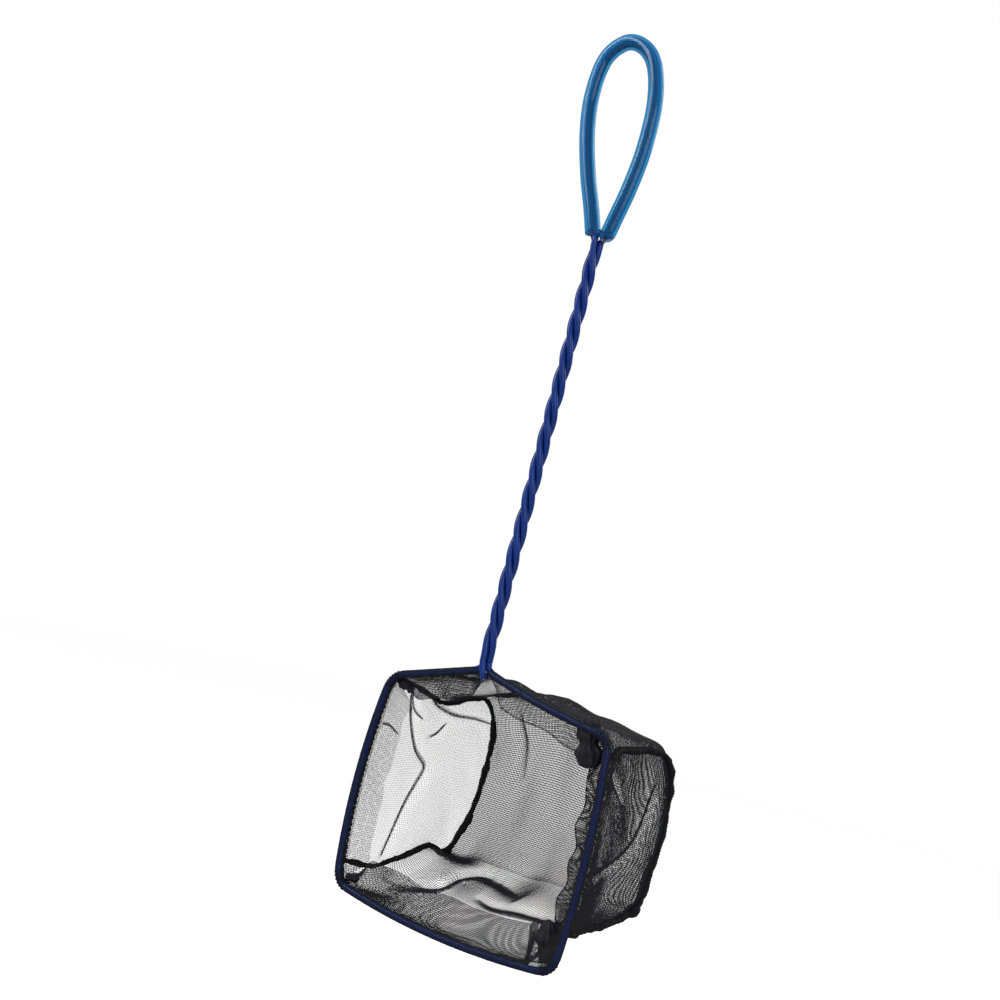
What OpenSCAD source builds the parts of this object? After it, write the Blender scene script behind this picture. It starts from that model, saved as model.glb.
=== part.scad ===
// Aquarium fish net: one plastic coated wire, bent and twisted on itself, with a sewn net bag
// The origin is where the loop hangs on a hook. +Z runs up the handle, +X across the hoop
// and +Y into the bag, so the mouth faces -Y.

/* [Wire] */
// Outside diameter of the plastic coated wire
wire_od = 3; // [2.4:0.1:3.6]
// Diameter of the steel core
core_od = 1.9; // [1.4:0.1:2.2]

/* [Twisted handle] */
// Length of the three strand twist
twist_length = 200; // [140:1:260]
// Whole turns in the twist, to which two thirds of a turn are added
whole_turns = 4; // [3:1:5]
// Room between neighbouring strands
strand_gap = 0.25; // [0.2:0.05:0.5]
// Length over which the twist eases to straight at each end
ease_length = 10; // [6:1:16]
// Length of the cut end that hangs in front of the hoop
low_tail = 8; // [4:1:12]
// Length of the cut end that stands at the foot of the loop
high_tail = 3; // [1:1:5]

/* [Loop] */
// Width of the loop between its wire centres
loop_width = 39; // [32:1:46]
// Height of the loop from the twist to its top wire centre
loop_height = 101; // [85:1:120]

/* [Grip sleeve] */
// Outside diameter of the soft tube on the loop
sleeve_od = 7.5; // [6.6:0.1:8]
// Bore of the soft tube
sleeve_id = 4.8; // [4.2:0.1:5.4]

/* [Hoop] */
// Width of the hoop between its upper corners
hoop_top_width = 126; // [110:1:150]
// Width of the hoop between its lower corners
hoop_low_width = 127.5; // [110:1:150]
// How far the upper corners lie to the right of the lower ones
hoop_lean = 2.5; // [0:0.5:4]
// How far the neck stands to the left of the middle
neck_offset = 7; // [0:0.5:12]
// Height from the neck down to the lower corners
hoop_height = 112.5; // [95:0.5:130]
// How much lower the right corners lie than the left ones
right_drop = 1.4; // [0:0.1:3]
// Drop of the shoulders from the neck to the upper left corner
shoulder_drop = 12.8; // [8:0.1:20]
// Outward bow of the left side
left_bow = 4.3; // [0:0.1:6]
// Outward bow of the right side
right_bow = 2.8; // [0:0.1:6]
// Downward bow of the bottom
bottom_bow = 4.7; // [0:0.1:8]
// Hollow of the right shoulder
shoulder_hollow = 1.7; // [0:0.1:4]
// Length that each rounded corner takes off its two sides
corner_cut = 8; // [5:0.5:12]
// Length that the bends at the neck take
neck_cut = 4; // [3:0.5:6]

/* [Bag] */
// Depth of the bag at its deepest
bag_depth = 79; // [60:1:110]
// How far each gusset leans in at the full depth
gusset_lean = 6.5; // [0:0.5:14]
// How far the back bellies out between the seams
back_belly = 3; // [0:0.5:8]
// How far each gusset billows out
gusset_belly = 2.5; // [0:0.5:6]
// Height of the soft fold in the floor of the bag
floor_fold = 3; // [0:0.5:6]
// Thickness of the netting
net_t = 0.5; // [0.4:0.1:1]
// Width of the ribs between the openings that stand for the fine mesh
net_rib = 2.4; // [1.6:0.1:4]

/* [Hem and seams] */
// Thickness of the folded cloth round the hoop
hem_t = 0.5; // [0.3:0.1:0.8]
// Depth of the hem from the hoop into the bag
hem_depth = 5; // [4:0.5:8]
// Place of the stitch line that joins the hem's two plies, behind the wire's centre
stitch_depth = 3.5; // [2.8:0.1:4]
// Width of the hem's free edge, which hangs loose inside the mouth
hem_flap = 7.5; // [3:0.5:9]
// Lean of the free edge away from the depth of the bag
flap_lean = 60; // [20:5:80]
// Diameter of the bound seams
seam_d = 2.3; // [1.6:0.1:3]
// Thickness of the whipped thread at each hoop corner
tack_t = 0.8; // [0.5:0.1:1.2]

/* [Hidden] */

// Clearance between pieces that touch
fit_gap = 0.05;
// Clearance of the coating round its core
bond_gap = 0.02;
// Clearance of the sleeve where it hangs on the wire
sleeve_gap = 0.15;
// Extra clearance of the netting where a seam bends
bend_gap = 0.7;

// Facets
core_sides = 5;
coat_sides = 2 * core_sides;
seam_sides = 6;
rings_per_turn = 9;
corner_steps = 4;
side_steps = 4;
loop_steps = 2;
seam_steps = 24;
panel_columns = 7;
top_rows = 4;
back_rows = 5;
floor_rows = 3;
gusset_cells = 5;
hem_arc_steps = 8;

// Twist: left handed, with two strands level with the hoop at each end and one in front
wire_r = wire_od / 2;
core_r = core_od / 2;
coat_bore_r = core_r + bond_gap;
third_turn = 120;
helix_r = (wire_od + strand_gap) / 2 / sin(third_turn / 2);
level_y = helix_r * sin(30);
strand_x = helix_r * cos(30);
twist_low = neck_cut;
twist_high = twist_low + twist_length;
twist_turns = whole_turns + 2 / 3;
twist_angle = 360 * twist_turns;
ease_share = ease_length / twist_length;
twist_rings = ceil(twist_turns * rings_per_turn);
phase_a = 270;
phase_b = 150;
phase_c = 30;

// Loop: its wire centres as shares of the loop's width and height, from the left strand up
// over the top and down to the right strand
loop_shares = [[-0.1, 0.045], [-0.215, 0.17], [-0.395, 0.35], [-0.555, 0.56], [-0.615, 0.75],
    [-0.54, 0.925], [-0.28, 1], [0, 0.968], [0.22, 0.865], [0.345, 0.68], [0.345, 0.46],
    [0.265, 0.27], [0.16, 0.12], [0.105, 0.045]];
loop_points = concat(
    [[-strand_x, 0, twist_high]],
    [for (s = loop_shares) [s[0] * loop_width, 0, twist_high + s[1] * loop_height]],
    [[strand_x, 0, twist_high]]);
loop_spans = len(loop_points) - 1;
loop_top_share = -0.28;
sleeve_drop = (sleeve_id - wire_od) / 2 - sleeve_gap;
// Shares of the loop's spans at which the sleeve starts and ends
sleeve_span_shares = [0.075, 0.925];

// The hang point, under the top of the sleeve
hang_x = loop_top_share * loop_width;
hang_z = twist_high + loop_height - sleeve_drop - sleeve_od / 2;

// Hoop: the outline that its bends round, from the left strand round to the right strand
hoop_vertices = [
    [-neck_offset - strand_x, 0, twist_low],
    [-neck_offset - strand_x, 0, 0],
    [hoop_lean - hoop_top_width / 2, 0, -shoulder_drop],
    [-hoop_low_width / 2, 0, -hoop_height],
    [hoop_low_width / 2, 0, -hoop_height - right_drop],
    [hoop_lean + hoop_top_width / 2, 0, -shoulder_drop - right_drop],
    [-neck_offset + strand_x, 0, 0],
    [-neck_offset + strand_x, 0, twist_low]];
hoop_bows = [0, 0, left_bow, bottom_bow, right_bow, -shoulder_hollow, 0];
hoop_cuts = [0, neck_cut, corner_cut, corner_cut, corner_cut, corner_cut, neck_cut, 0];
left_shoulder = 1;
left_side = 2;
bottom_side = 3;
right_side = 4;
right_shoulder = 5;

// Bag seams, in shares of the bag's depth and the hoop's height, from the upper corner back,
// down and forward to the lower corner
left_seam_shares = [[0.23, -0.145], [0.44, -0.187], [0.66, -0.163], [0.86, -0.14], [0.98, -0.26],
    [1, -0.434], [0.96, -0.63], [0.8, -0.826], [0.42, -0.862]];
right_seam_shares = [[0.225, -0.167], [0.405, -0.163], [0.593, -0.158], [0.78, -0.173],
    [0.92, -0.289], [0.955, -0.46], [0.908, -0.616], [0.784, -0.797], [0.22, -0.862]];
seam_spans = len(left_seam_shares) + 1;
seam_r = seam_d / 2;
tack_r = wire_r + fit_gap + tack_t;
seam_y = tack_r + fit_gap;
// Places along the seams where the top panel meets the back and the back meets the floor
top_back_share = 4 / seam_spans;
back_floor_share = 8 / seam_spans;
// Share of the front crown that is left at the top of the back
crown_back_share = 0.67;
// Part of the back over which the crown fades
crown_fade_share = 0.3;
fold_place_share = 0.9;
fold_width_share = 0.05;
net_start_y = hem_depth + net_t / 2 + fit_gap;
seam_room = seam_r + net_t / 2 + bend_gap;
small_step = 0.002;

// Bores with flat sides, which clear a round of radius r
function clear_bore(r, sides) = (r + fit_gap) / cos(180 / sides);
hem_bore_r = clear_bore(wire_r, hem_arc_steps);
hem_r = hem_bore_r + hem_t;
// The free edge stops short of where the next side's would meet it
flap_width = min(hem_flap, (corner_cut - hem_t - tack_t) / sin(flap_lean));

// Vectors and curves
function unit(v) = v / norm(v);
function lerp(a, b, t) = a + (b - a) * t;
function smooth(t) = let (c = max(0, min(1, t))) c * c * (3 - 2 * c);
function bezier(a, b, c, t) = lerp(lerp(a, b, t), lerp(b, c, t), t);
function catmull(a, b, c, d, t) =
    (2 * b + (c - a) * t + (2 * a - 5 * b + 4 * c - d) * t * t
    + (3 * b - a - 3 * c + d) * t * t * t) / 2;
function through(points, t) =
    let (
        last = len(points) - 1,
        i = max(0, min(last - 1, floor(t * last))),
        before = i > 0 ? points[i - 1] : 2 * points[0] - points[1],
        after = i < last - 1 ? points[i + 2] : 2 * points[last] - points[last - 1])
    catmull(before, points[i], points[i + 1], after, t * last - i);
function lengths(points) = [for (i = 0, s = 0; i < len(points);
    s = i < len(points) - 1 ? s + norm(points[i + 1] - points[i]) : s, i = i + 1) s];
function along(points, t) =
    let (
        s = lengths(points),
        want = max(0, min(1, t)) * s[len(s) - 1],
        i = max([for (k = [0:len(s) - 2]) if (s[k] <= want) k]))
    lerp(points[i], points[i + 1], (want - s[i]) / (s[i + 1] - s[i]));
function reversed(list) = [for (i = [len(list) - 1:-1:0]) list[i]];

// Strand centres: the turn rate rises and falls in a ramp at each end
function turn_share(s) =
    let (e = ease_share, whole = 1 - e)
    s < e ? s * s / (2 * e) / whole
    : s > 1 - e ? 1 - (1 - s) * (1 - s) / (2 * e) / whole
    : (s - e / 2) / whole;
function strand_at(phase, s) =
    let (a = phase - twist_angle * turn_share(s))
    [helix_r * cos(a) - neck_offset * (1 - s), helix_r * sin(a) - level_y, twist_low + s * twist_length];
function strand_path(phase, low = 0, high = 0) = concat(
    low > 0 ? [strand_at(phase, 0) - [0, 0, low]] : [],
    [for (k = [0:twist_rings]) strand_at(phase, k / twist_rings)],
    high > 0 ? [strand_at(phase, 1) + [0, 0, high]] : []);

// Loop centres
loop_path = [for (k = [0:loop_spans * loop_steps]) through(loop_points, k / loop_spans / loop_steps)];
sleeve_rings = loop_spans * loop_steps;
sleeve_path = [for (k = [0:sleeve_rings])
    through(loop_points, lerp(sleeve_span_shares[0], sleeve_span_shares[1], k / sleeve_rings))
    - [0, 0, sleeve_drop]];

// Hoop centres: bowed sides joined by rounded corners
function side_length(i) = norm(hoop_vertices[i + 1] - hoop_vertices[i]);
function side_at(i, t) =
    let (
        a = hoop_vertices[i],
        b = hoop_vertices[i + 1],
        d = unit(b - a))
    lerp(a, b, t) + [d[2], 0, -d[0]] * hoop_bows[i] * 4 * t * (1 - t);
function side_start(i) = hoop_cuts[i] / side_length(i);
function side_end(i) = 1 - hoop_cuts[i + 1] / side_length(i);
function side_points(i, steps) =
    [for (k = [0:steps]) side_at(i, lerp(side_start(i), side_end(i), k / steps))];
function corner_points(i) =
    let (a = side_at(i - 1, side_end(i - 1)), b = side_at(i, side_start(i)))
    [for (k = [1:corner_steps - 1]) bezier(a, hoop_vertices[i], b, k / corner_steps)];
function half_corner(i) = bezier(side_at(i - 1, side_end(i - 1)), hoop_vertices[i],
    side_at(i, side_start(i)), 0.5);
hoop_path = concat([hoop_vertices[0]],
    [for (i = [left_shoulder:right_shoulder]) each concat(corner_points(i), side_points(i, side_steps))],
    corner_points(right_shoulder + 1), [hoop_vertices[right_shoulder + 2]]);

// Front edges of the bag, from corner to corner
function back_by(points, y) = [for (p = points) [p[0], y, p[2]]];
function corner_half_points(i, first) =
    let (p = corner_points(i), mid = floor(len(p) / 2))
    [for (k = [0:len(p) - 1]) if (first ? k <= mid : k >= mid) p[k]];
function front_side(i) = back_by(concat(corner_half_points(i, false), side_points(i, side_steps),
    corner_half_points(i + 1, true)), net_start_y);
front_left = front_side(left_side);
front_bottom = front_side(bottom_side);
front_right = reversed(front_side(right_side));
front_top = back_by(reversed(concat(corner_half_points(right_shoulder, false),
    side_points(right_shoulder, side_steps), side_points(left_shoulder, side_steps),
    corner_half_points(left_side, true))), net_start_y);

// Seam centres
function seam_points(side, shares, high, low) = concat(
    [half_corner(high) + [0, net_start_y, 0]],
    [for (s = shares) [
        side * (abs(half_corner(high)[0]) - s[0] * gusset_lean),
        s[0] * bag_depth,
        s[1] * hoop_height]],
    [half_corner(low) + [0, net_start_y, 0]]);
left_seam_points = seam_points(-1, left_seam_shares, left_side, bottom_side);
right_seam_points = seam_points(1, right_seam_shares, right_shoulder, right_side);
function left_seam(u) = through(left_seam_points, u);
function right_seam(u) = through(right_seam_points, u);

// The strip of netting that makes the top, the back and the floor
function crown(edge, t) = let (p = along(edge, t) - lerp(edge[0], edge[len(edge) - 1], t)) [p[0], 0, p[2]];
function top_crown_left(u) = u < top_back_share
    ? lerp(1, crown_back_share, u / top_back_share)
    : crown_back_share * (1 - smooth((u - top_back_share) / crown_fade_share));
function floor_crown_left(u) = smooth((u - back_floor_share) / (1 - back_floor_share));
function belly(u) = back_belly * smooth(u / top_back_share) * (1 - floor_crown_left(u));
function fold(u, t) = floor_fold * exp(-pow((u - fold_place_share) / fold_width_share, 2))
    * sin(360 * t) * sin(180 * t);
function strip_at(u, t) = lerp(left_seam(u), right_seam(u), t)
    + crown(front_top, t) * top_crown_left(u)
    + crown(front_bottom, t) * floor_crown_left(u)
    + [0, belly(u) * 4 * t * (1 - t), fold(u, t)];

// A gusset, a patch between its hoop side and the inside of its seam
function inside_seam(seam, u) =
    let (
        d = through(seam, u + small_step) - through(seam, u - small_step),
        p = through(seam, u) + seam_room * unit([0, d[2], -d[1]]))
    [p[0], max(net_start_y, p[1]), p[2]];
function inside_edge(edge, v) =
    let (s = seam_room / hoop_height) along(edge, lerp(s, 1 - s, v));
function gusset_at(seam, edge, s, v, side) =
    let (
        top = inside_seam(seam, lerp(0, top_back_share, s)),
        low = inside_seam(seam, lerp(1, back_floor_share, s)),
        front = inside_edge(edge, v),
        back = inside_seam(seam, lerp(top_back_share, back_floor_share, v)),
        corners = lerp(lerp(inside_edge(edge, 0), inside_seam(seam, top_back_share), s),
            lerp(inside_edge(edge, 1), inside_seam(seam, back_floor_share), s), v))
    lerp(top, low, v) + lerp(front, back, s) - corners
    + [side * gusset_belly * sin(180 * v) * sin(180 * s), 0, 0];

// Sweeps: rings of points along a path, square to it
function headings(path, first, last) = [for (i = [0:len(path) - 1])
    i == 0 ? first : i == len(path) - 1 ? last : unit(path[i + 1] - path[i - 1])];
function ring(centre, heading, level, profile) =
    let (u = unit(level - heading * (heading * level)), v = cross(heading, u))
    [for (p = profile) centre + p[0] * u + p[1] * v];
function rings(path, first, last, level, profile) =
    let (h = headings(path, first, last))
    [for (i = [0:len(path) - 1]) each ring(path[i], h[i], level, profile)];
function round_profile(r, sides) =
    [for (k = [0:sides - 1]) r * [cos(360 * k / sides), sin(360 * k / sides)]];
function first_heading(path) = unit(path[1] - path[0]);
function last_heading(path) = unit(path[len(path) - 1] - path[len(path) - 2]);
// Side faces of rings of n points, which face outward, or inward for a bore
function wall_faces(n, count, start, outward) = [for (i = [0:count - 2]) for (k = [0:n - 1])
    let (
        a = start + i * n + k,
        b = start + i * n + (k + 1) % n,
        c = b + n,
        d = a + n)
    each outward ? [[a, c, b], [a, d, c]] : [[a, b, c], [a, c, d]]];
function fan_faces(n, start, flip) = [for (k = [1:n - 2])
    flip ? [start, start + k + 1, start + k] : [start, start + k, start + k + 1]];
// End faces between a ring of n points and a ring of 2n round it
function rim_faces(n, inner, outer, flip) = [for (k = [0:n - 1])
    let (
        a = inner + k,
        b = inner + (k + 1) % n,
        p = outer + 2 * k,
        q = outer + 2 * k + 1,
        r = outer + (2 * k + 2) % (2 * n))
    each flip ? [[a, q, p], [a, b, q], [b, r, q]] : [[a, p, q], [a, q, b], [b, q, r]]];

module rod(path, r, sides, first, last, level = [0, 1, 0]) {
    n = len(path);
    polyhedron(rings(path, first, last, level, round_profile(r, sides)),
        concat(wall_faces(sides, n, 0, true), fan_faces(sides, 0, false),
            fan_faces(sides, (n - 1) * sides, true)));
}

module tube(path, r, bore_r, first, last, level = [0, 1, 0]) {
    n = len(path);
    bore_start = n * coat_sides;
    polyhedron(
        concat(
            rings(path, first, last, level, round_profile(r, coat_sides)),
            rings(path, first, last, level, round_profile(bore_r, core_sides))),
        concat(
            wall_faces(coat_sides, n, 0, true),
            wall_faces(core_sides, n, bore_start, false),
            rim_faces(core_sides, bore_start, 0, false),
            rim_faces(core_sides, bore_start + (n - 1) * core_sides, (n - 1) * coat_sides, true)));
}

// A strip of cloth folded round the wire, with its two plies flat against each other behind it
// and the free edge of the inner ply leaning into the mouth
function fold_profile(r, ply_y) =
    let (start = asin(ply_y / r))
    concat([[stitch_depth, ply_y] + flap_width * [cos(flap_lean), sin(flap_lean)],
            [stitch_depth, ply_y]],
        [for (k = [0:hem_arc_steps])
            let (a = lerp(start, 360 - start, k / hem_arc_steps)) r * [cos(a), sin(a)]],
        [[hem_depth, -ply_y]]);

module hem(path) {
    n = hem_arc_steps + 4;
    outer = fold_profile(hem_r, fit_gap / 2 + hem_t);
    inner = fold_profile(hem_bore_r, fit_gap / 2);
    count = len(path);
    first = first_heading(path);
    last = last_heading(path);
    all = concat(
        rings(path, first, last, [0, 1, 0], outer),
        rings(path, first, last, [0, 1, 0], inner));
    bore = count * n;
    walls = [for (i = [0:count - 2]) for (k = [0:n - 2])
        let (
            a = i * n + k,
            b = a + 1,
            c = b + n,
            d = a + n)
        each [[a, c, b], [a, d, c], [bore + a, bore + b, bore + c], [bore + a, bore + c, bore + d]]];
    edges = [for (i = [0:count - 2])
        let (a = i * n, b = a + n, p = a + n - 1, q = p + n)
        each [[a, bore + a, bore + b], [a, bore + b, b], [p, bore + q, bore + p], [p, q, bore + q]]];
    ends = [for (k = [0:n - 2])
        let (a = k, b = k + 1, c = (count - 1) * n + k, d = c + 1)
        each [[a, b, bore + b], [a, bore + b, bore + a], [c, bore + d, d], [c, bore + c, bore + d]]];
    polyhedron(all, concat(walls, edges, ends));
}

// A sheet of netting: a surface thickened by half its thickness to each side, square to itself
// or along the heading across, with an opening in each cell of its grid
module sheet(at, rows, columns, across = undef) {
    r = len(rows);
    c = len(columns);
    grid = [for (a = rows) for (b = columns) at(a, b)];
    normals = [for (a = rows) for (b = columns) is_undef(across)
        ? unit(cross(
            at(a + small_step, b) - at(a - small_step, b),
            at(a, b + small_step) - at(a, b - small_step)))
        : across];
    cells = [for (i = [0:r - 2]) for (k = [0:c - 2])
        let (a = i * c + k) [a, a + 1, a + c + 1, a + c]];
    holes = [for (cell = cells) for (m = [0:3])
        let (
            p = grid[cell[m]],
            before = grid[cell[(m + 3) % 4]],
            after = grid[cell[(m + 1) % 4]])
        p + net_rib / 2 * (unit(before - p) + unit(after - p))];
    surface = concat(grid, holes);
    square = concat(normals, [for (cell = cells) for (corner = cell) normals[corner]]);
    low = len(surface);
    points = concat(
        [for (i = [0:low - 1]) surface[i] + square[i] * net_t / 2],
        [for (i = [0:low - 1]) surface[i] - square[i] * net_t / 2]);
    ribs = [for (i = [0:len(cells) - 1]) for (m = [0:3])
        let (
            a = cells[i][m],
            b = cells[i][(m + 1) % 4],
            p = r * c + 4 * i + m,
            q = r * c + 4 * i + (m + 1) % 4)
        each [[a, b, q], [a, q, p], [low + a, low + q, low + b], [low + a, low + p, low + q],
            [p, q, low + q], [p, low + q, low + p]]];
    row_edges = [for (k = [0:c - 2])
        let (a = k, b = k + 1, d = (r - 1) * c + k, e = d + 1)
        each [[a, low + a, low + b], [a, low + b, b], [d, low + e, low + d], [d, e, low + e]]];
    column_edges = [for (i = [0:r - 2])
        let (a = i * c, d = a + c, b = a + c - 1, e = d + c - 1)
        each [[a, low + d, low + a], [a, d, low + d], [b, low + b, low + e], [b, low + e, e]]];
    polyhedron(points, concat(ribs, row_edges, column_edges));
}

function steps(a, b, n) = [for (k = [0:n]) lerp(a, b, k / n)];

module placed() {
    translate([-hang_x, 0, -hang_z]) children();
}

// Wire
up = [0, 0, 1];
module hoop_wire() {
    color("silver") placed() rod(hoop_path, core_r, core_sides, -up, up);
}
module hoop_coating() {
    color([0.17, 0.2, 0.45]) placed() tube(hoop_path, wire_r, coat_bore_r, -up, up);
}
module strand_wire(path) {
    color("silver") placed() rod(path, core_r, core_sides, up, up);
}
module strand_coating(path) {
    color([0.1, 0.22, 0.55]) placed() tube(path, wire_r, coat_bore_r, up, up);
}
module strand_a_wire() strand_wire(strand_path(phase_a, low = low_tail));
module strand_a_coating() strand_coating(strand_path(phase_a, low = low_tail));
module strand_b_wire() strand_wire(strand_path(phase_b, high = high_tail));
module strand_b_coating() strand_coating(strand_path(phase_b, high = high_tail));
module strand_c_wire() strand_wire(strand_path(phase_c));
module strand_c_coating() strand_coating(strand_path(phase_c));
module loop_wire() {
    color("silver") placed() rod(loop_path, core_r, core_sides, up, -up);
}
module loop_coating() {
    color([0.1, 0.22, 0.55]) placed() tube(loop_path, wire_r, coat_bore_r, up, -up);
}
module grip_sleeve() {
    color([0.15, 0.45, 0.6]) placed()
        tube(sleeve_path, sleeve_od / 2, clear_bore(sleeve_id / 2, core_sides),
            first_heading(sleeve_path), last_heading(sleeve_path));
}

// Netting
top_length = norm(front_top[0] - front_top[len(front_top) - 1]);
strip_inset = seam_room / top_length;
module strip_panel(from, to, rows) {
    color([0.12, 0.12, 0.13]) placed()
        sheet(function (u, t) strip_at(u, t), steps(from, to, rows),
            steps(strip_inset, 1 - strip_inset, panel_columns));
}
module net_top_panel() strip_panel(0, top_back_share, top_rows);
module net_back_panel() strip_panel(top_back_share, back_floor_share, back_rows);
module net_bottom_panel() strip_panel(back_floor_share, 1, floor_rows);
module gusset(seam, edge, side) {
    color([0.16, 0.16, 0.17]) placed()
        sheet(function (s, v) gusset_at(seam, edge, s, v, side),
            steps(seam_room / bag_depth / 2, 1, gusset_cells), steps(0, 1, gusset_cells),
            across = [-1, 0, 0]);
}
module net_left_gusset() gusset(left_seam_points, front_left, -1);
module net_right_gusset() gusset(right_seam_points, front_right, 1);

// Seams
module seam(points) {
    last = len(points) - 1;
    foot = [0, net_start_y - seam_y, 0];
    path = concat([points[0] - foot], [for (k = [0:seam_steps]) through(points, k / seam_steps)],
        [points[last] - foot]);
    color("black") placed() rod(path, seam_r, seam_sides, [0, 1, 0], [0, -1, 0], [1, 0, 0]);
}
module seam_left() seam(left_seam_points);
module seam_right() seam(right_seam_points);

// Hems
module hem_on(i) {
    color([0.1, 0.1, 0.14]) placed() hem(side_points(i, side_steps));
}
module hem_top_left() hem_on(left_shoulder);
module hem_top_right() hem_on(right_shoulder);
module hem_left() hem_on(left_side);
module hem_right() hem_on(right_side);
module hem_bottom() hem_on(bottom_side);

// Whipped thread that ties each seam to its corner of the hoop
module corner_tacks() {
    color("black") placed()
        for (i = [left_side:right_shoulder]) {
            path = corner_points(i);
            tube(path, tack_r, clear_bore(wire_r, core_sides), first_heading(path), last_heading(path));
        }
}

hoop_wire();
hoop_coating();
strand_a_wire();
strand_a_coating();
strand_b_wire();
strand_b_coating();
strand_c_wire();
strand_c_coating();
loop_wire();
loop_coating();
grip_sleeve();
net_top_panel();
net_back_panel();
net_bottom_panel();
net_left_gusset();
net_right_gusset();
seam_left();
seam_right();
hem_top_left();
hem_top_right();
hem_left();
hem_right();
hem_bottom();
corner_tacks();
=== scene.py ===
"""Aquarium fish net: a coated wire bent to a hoop, a twisted handle and a loop, with a clear grip
sleeve and a sewn bag of netting whose threads are real geometry."""
import math
from collections import namedtuple
from types import SimpleNamespace

import bmesh
import bpy
import numpy as np
from bpy.props import FloatProperty, FloatVectorProperty, PointerProperty
from bpy.types import Operator, Panel, PropertyGroup
from mathutils import Matrix, Vector


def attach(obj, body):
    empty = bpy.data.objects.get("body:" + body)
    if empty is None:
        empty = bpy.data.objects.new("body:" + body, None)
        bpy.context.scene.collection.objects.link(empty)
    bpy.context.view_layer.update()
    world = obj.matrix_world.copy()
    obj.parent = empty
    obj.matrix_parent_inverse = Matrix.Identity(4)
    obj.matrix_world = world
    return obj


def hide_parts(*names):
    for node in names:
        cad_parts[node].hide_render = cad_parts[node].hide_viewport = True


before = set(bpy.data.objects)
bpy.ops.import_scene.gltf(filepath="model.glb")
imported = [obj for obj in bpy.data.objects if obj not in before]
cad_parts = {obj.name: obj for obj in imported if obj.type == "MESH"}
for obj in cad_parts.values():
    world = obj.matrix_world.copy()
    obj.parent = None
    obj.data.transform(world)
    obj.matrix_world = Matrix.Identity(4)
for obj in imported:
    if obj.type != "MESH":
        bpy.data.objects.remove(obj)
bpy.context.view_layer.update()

bl_info = {
    "name": "Aquarium fish net",
    "version": (1, 0, 0),
    "blender": (4, 5, 0),
    "location": "View3D > Sidebar > Fish net",
    "description": "Builds the wire, the grip sleeve and the sewn bag of an aquarium fish net",
    "category": "Object",
}


def length(name, description, default):
    return FloatProperty(
        name=name, description=description, default=default, min=0.0, unit="LENGTH", precision=5)


def colour(name, description, default):
    return FloatVectorProperty(
        name=name, description=description, default=default, subtype="COLOR", size=3, min=0.0, max=1.0)


class FishNetWire(PropertyGroup):
    """Sizes of the coated wire, its twist and its loop."""
    diameter: length("Wire diameter", "Outside diameter of the coated wire", 0.003)
    core: length("Core diameter", "Diameter of the steel core", 0.0019)
    gap: length("Strand gap", "Room between neighbouring strands", 0.00025)
    twist: length("Twist length", "Length of the three strand twist", 0.2)
    turns: FloatProperty(name="Turns", description="Turns of the twist, left handed", default=4 + 2 / 3)
    ease: length("Ease length", "Length over which the twist eases to straight", 0.01)
    low_tail: length("Low cut end", "Length of the cut end in front of the hoop", 0.008)
    tail_bend: length("Cut end bend", "How far the cut end in front of the hoop leans to the right", 0.0028)
    high_tail: length("High cut end", "Length of the cut end at the foot of the loop", 0.003)
    loop_width: length("Loop width", "Width of the loop between wire centres", 0.039)
    loop_height: length("Loop height", "Height of the loop above the twist", 0.101)
    sleeve_od: length("Sleeve outside", "Outside diameter of the grip sleeve", 0.0075)
    sleeve_id: length("Sleeve bore", "Bore of the grip sleeve", 0.0048)
    cut_slant: FloatProperty(name="Cut slant", description="Slant of the sleeve's cut end", default=1.3)


class FishNetHoop(PropertyGroup):
    """Sizes of the hoop that the wire makes."""
    top_width: length("Upper width", "Width between the upper corners", 0.126)
    low_width: length("Lower width", "Width between the lower corners", 0.1275)
    lean: length("Lean", "How far the upper corners lie to the right", 0.0025)
    neck_offset: length("Neck offset", "How far the neck stands to the left", 0.007)
    height: length("Height", "Height from the neck to the lower corners", 0.1125)
    right_drop: length("Right drop", "How much lower the right corners lie", 0.0014)
    shoulder_drop: length("Shoulder drop", "Drop from the neck to the upper left corner", 0.0128)
    left_bow: length("Left bow", "Outward bow of the left side", 0.0043)
    right_bow: length("Right bow", "Outward bow of the right side", 0.0028)
    bottom_bow: length("Bottom bow", "Downward bow of the bottom", 0.0047)
    shoulder_hollow: length("Shoulder hollow", "Hollow of the right shoulder", 0.0017)
    corner_cut: length("Corner cut", "Length that a corner takes off its sides", 0.008)
    neck_cut: length("Neck cut", "Length that the bends at the neck take", 0.004)


class FishNetBag(PropertyGroup):
    """Sizes of the netting and its sewing."""
    depth: length("Bag depth", "Depth of the bag at its deepest", 0.079)
    lean: length("Gusset lean", "How far each gusset leans in", 0.0065)
    back_belly: length("Back belly", "How far the back bellies out", 0.003)
    gusset_belly: length("Gusset belly", "How far each gusset billows out", 0.0025)
    floor_fold: length("Floor fold", "Height of the soft fold in the floor", 0.002)
    front_gap: length("Front edge", "Distance of the panels' front edges from the wire centre", 0.0053)
    pitch: length("Mesh pitch", "Spacing of the threads", 0.00092)
    top_thread: length("Top thread", "Thread depth of the top panel", 0.00024)
    back_thread: length("Back thread", "Thread depth of the back panel", 0.00052)
    floor_thread: length("Floor thread", "Thread depth of the floor", 0.00036)
    # The left gusset's thread is made thinner than the other panels' so that the gusset renders lighter:
    # painted light, standing in for the strong light on that side of the bag
    left_thread: length("Left thread", "Thread depth of the left gusset", 0.00018)
    right_thread: length("Right thread", "Thread depth of the right gusset", 0.00027)
    tuck_thread: length("Tuck thread", "Thread depth of the folds over the creases", 0.00019)
    low_left_gather: length("Lower left gather", "How far up the hoop the left seam ends", 0.0085)
    low_right_gather: length("Lower right gather", "How far up the hoop the right seam ends", 0.016)
    high_right_gather: length("Upper right gather", "How far down the hoop the right seam starts", 0.0065)
    ripple: length("Ripple", "Height of the slack ripples in the panels", 0.0007)


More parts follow.
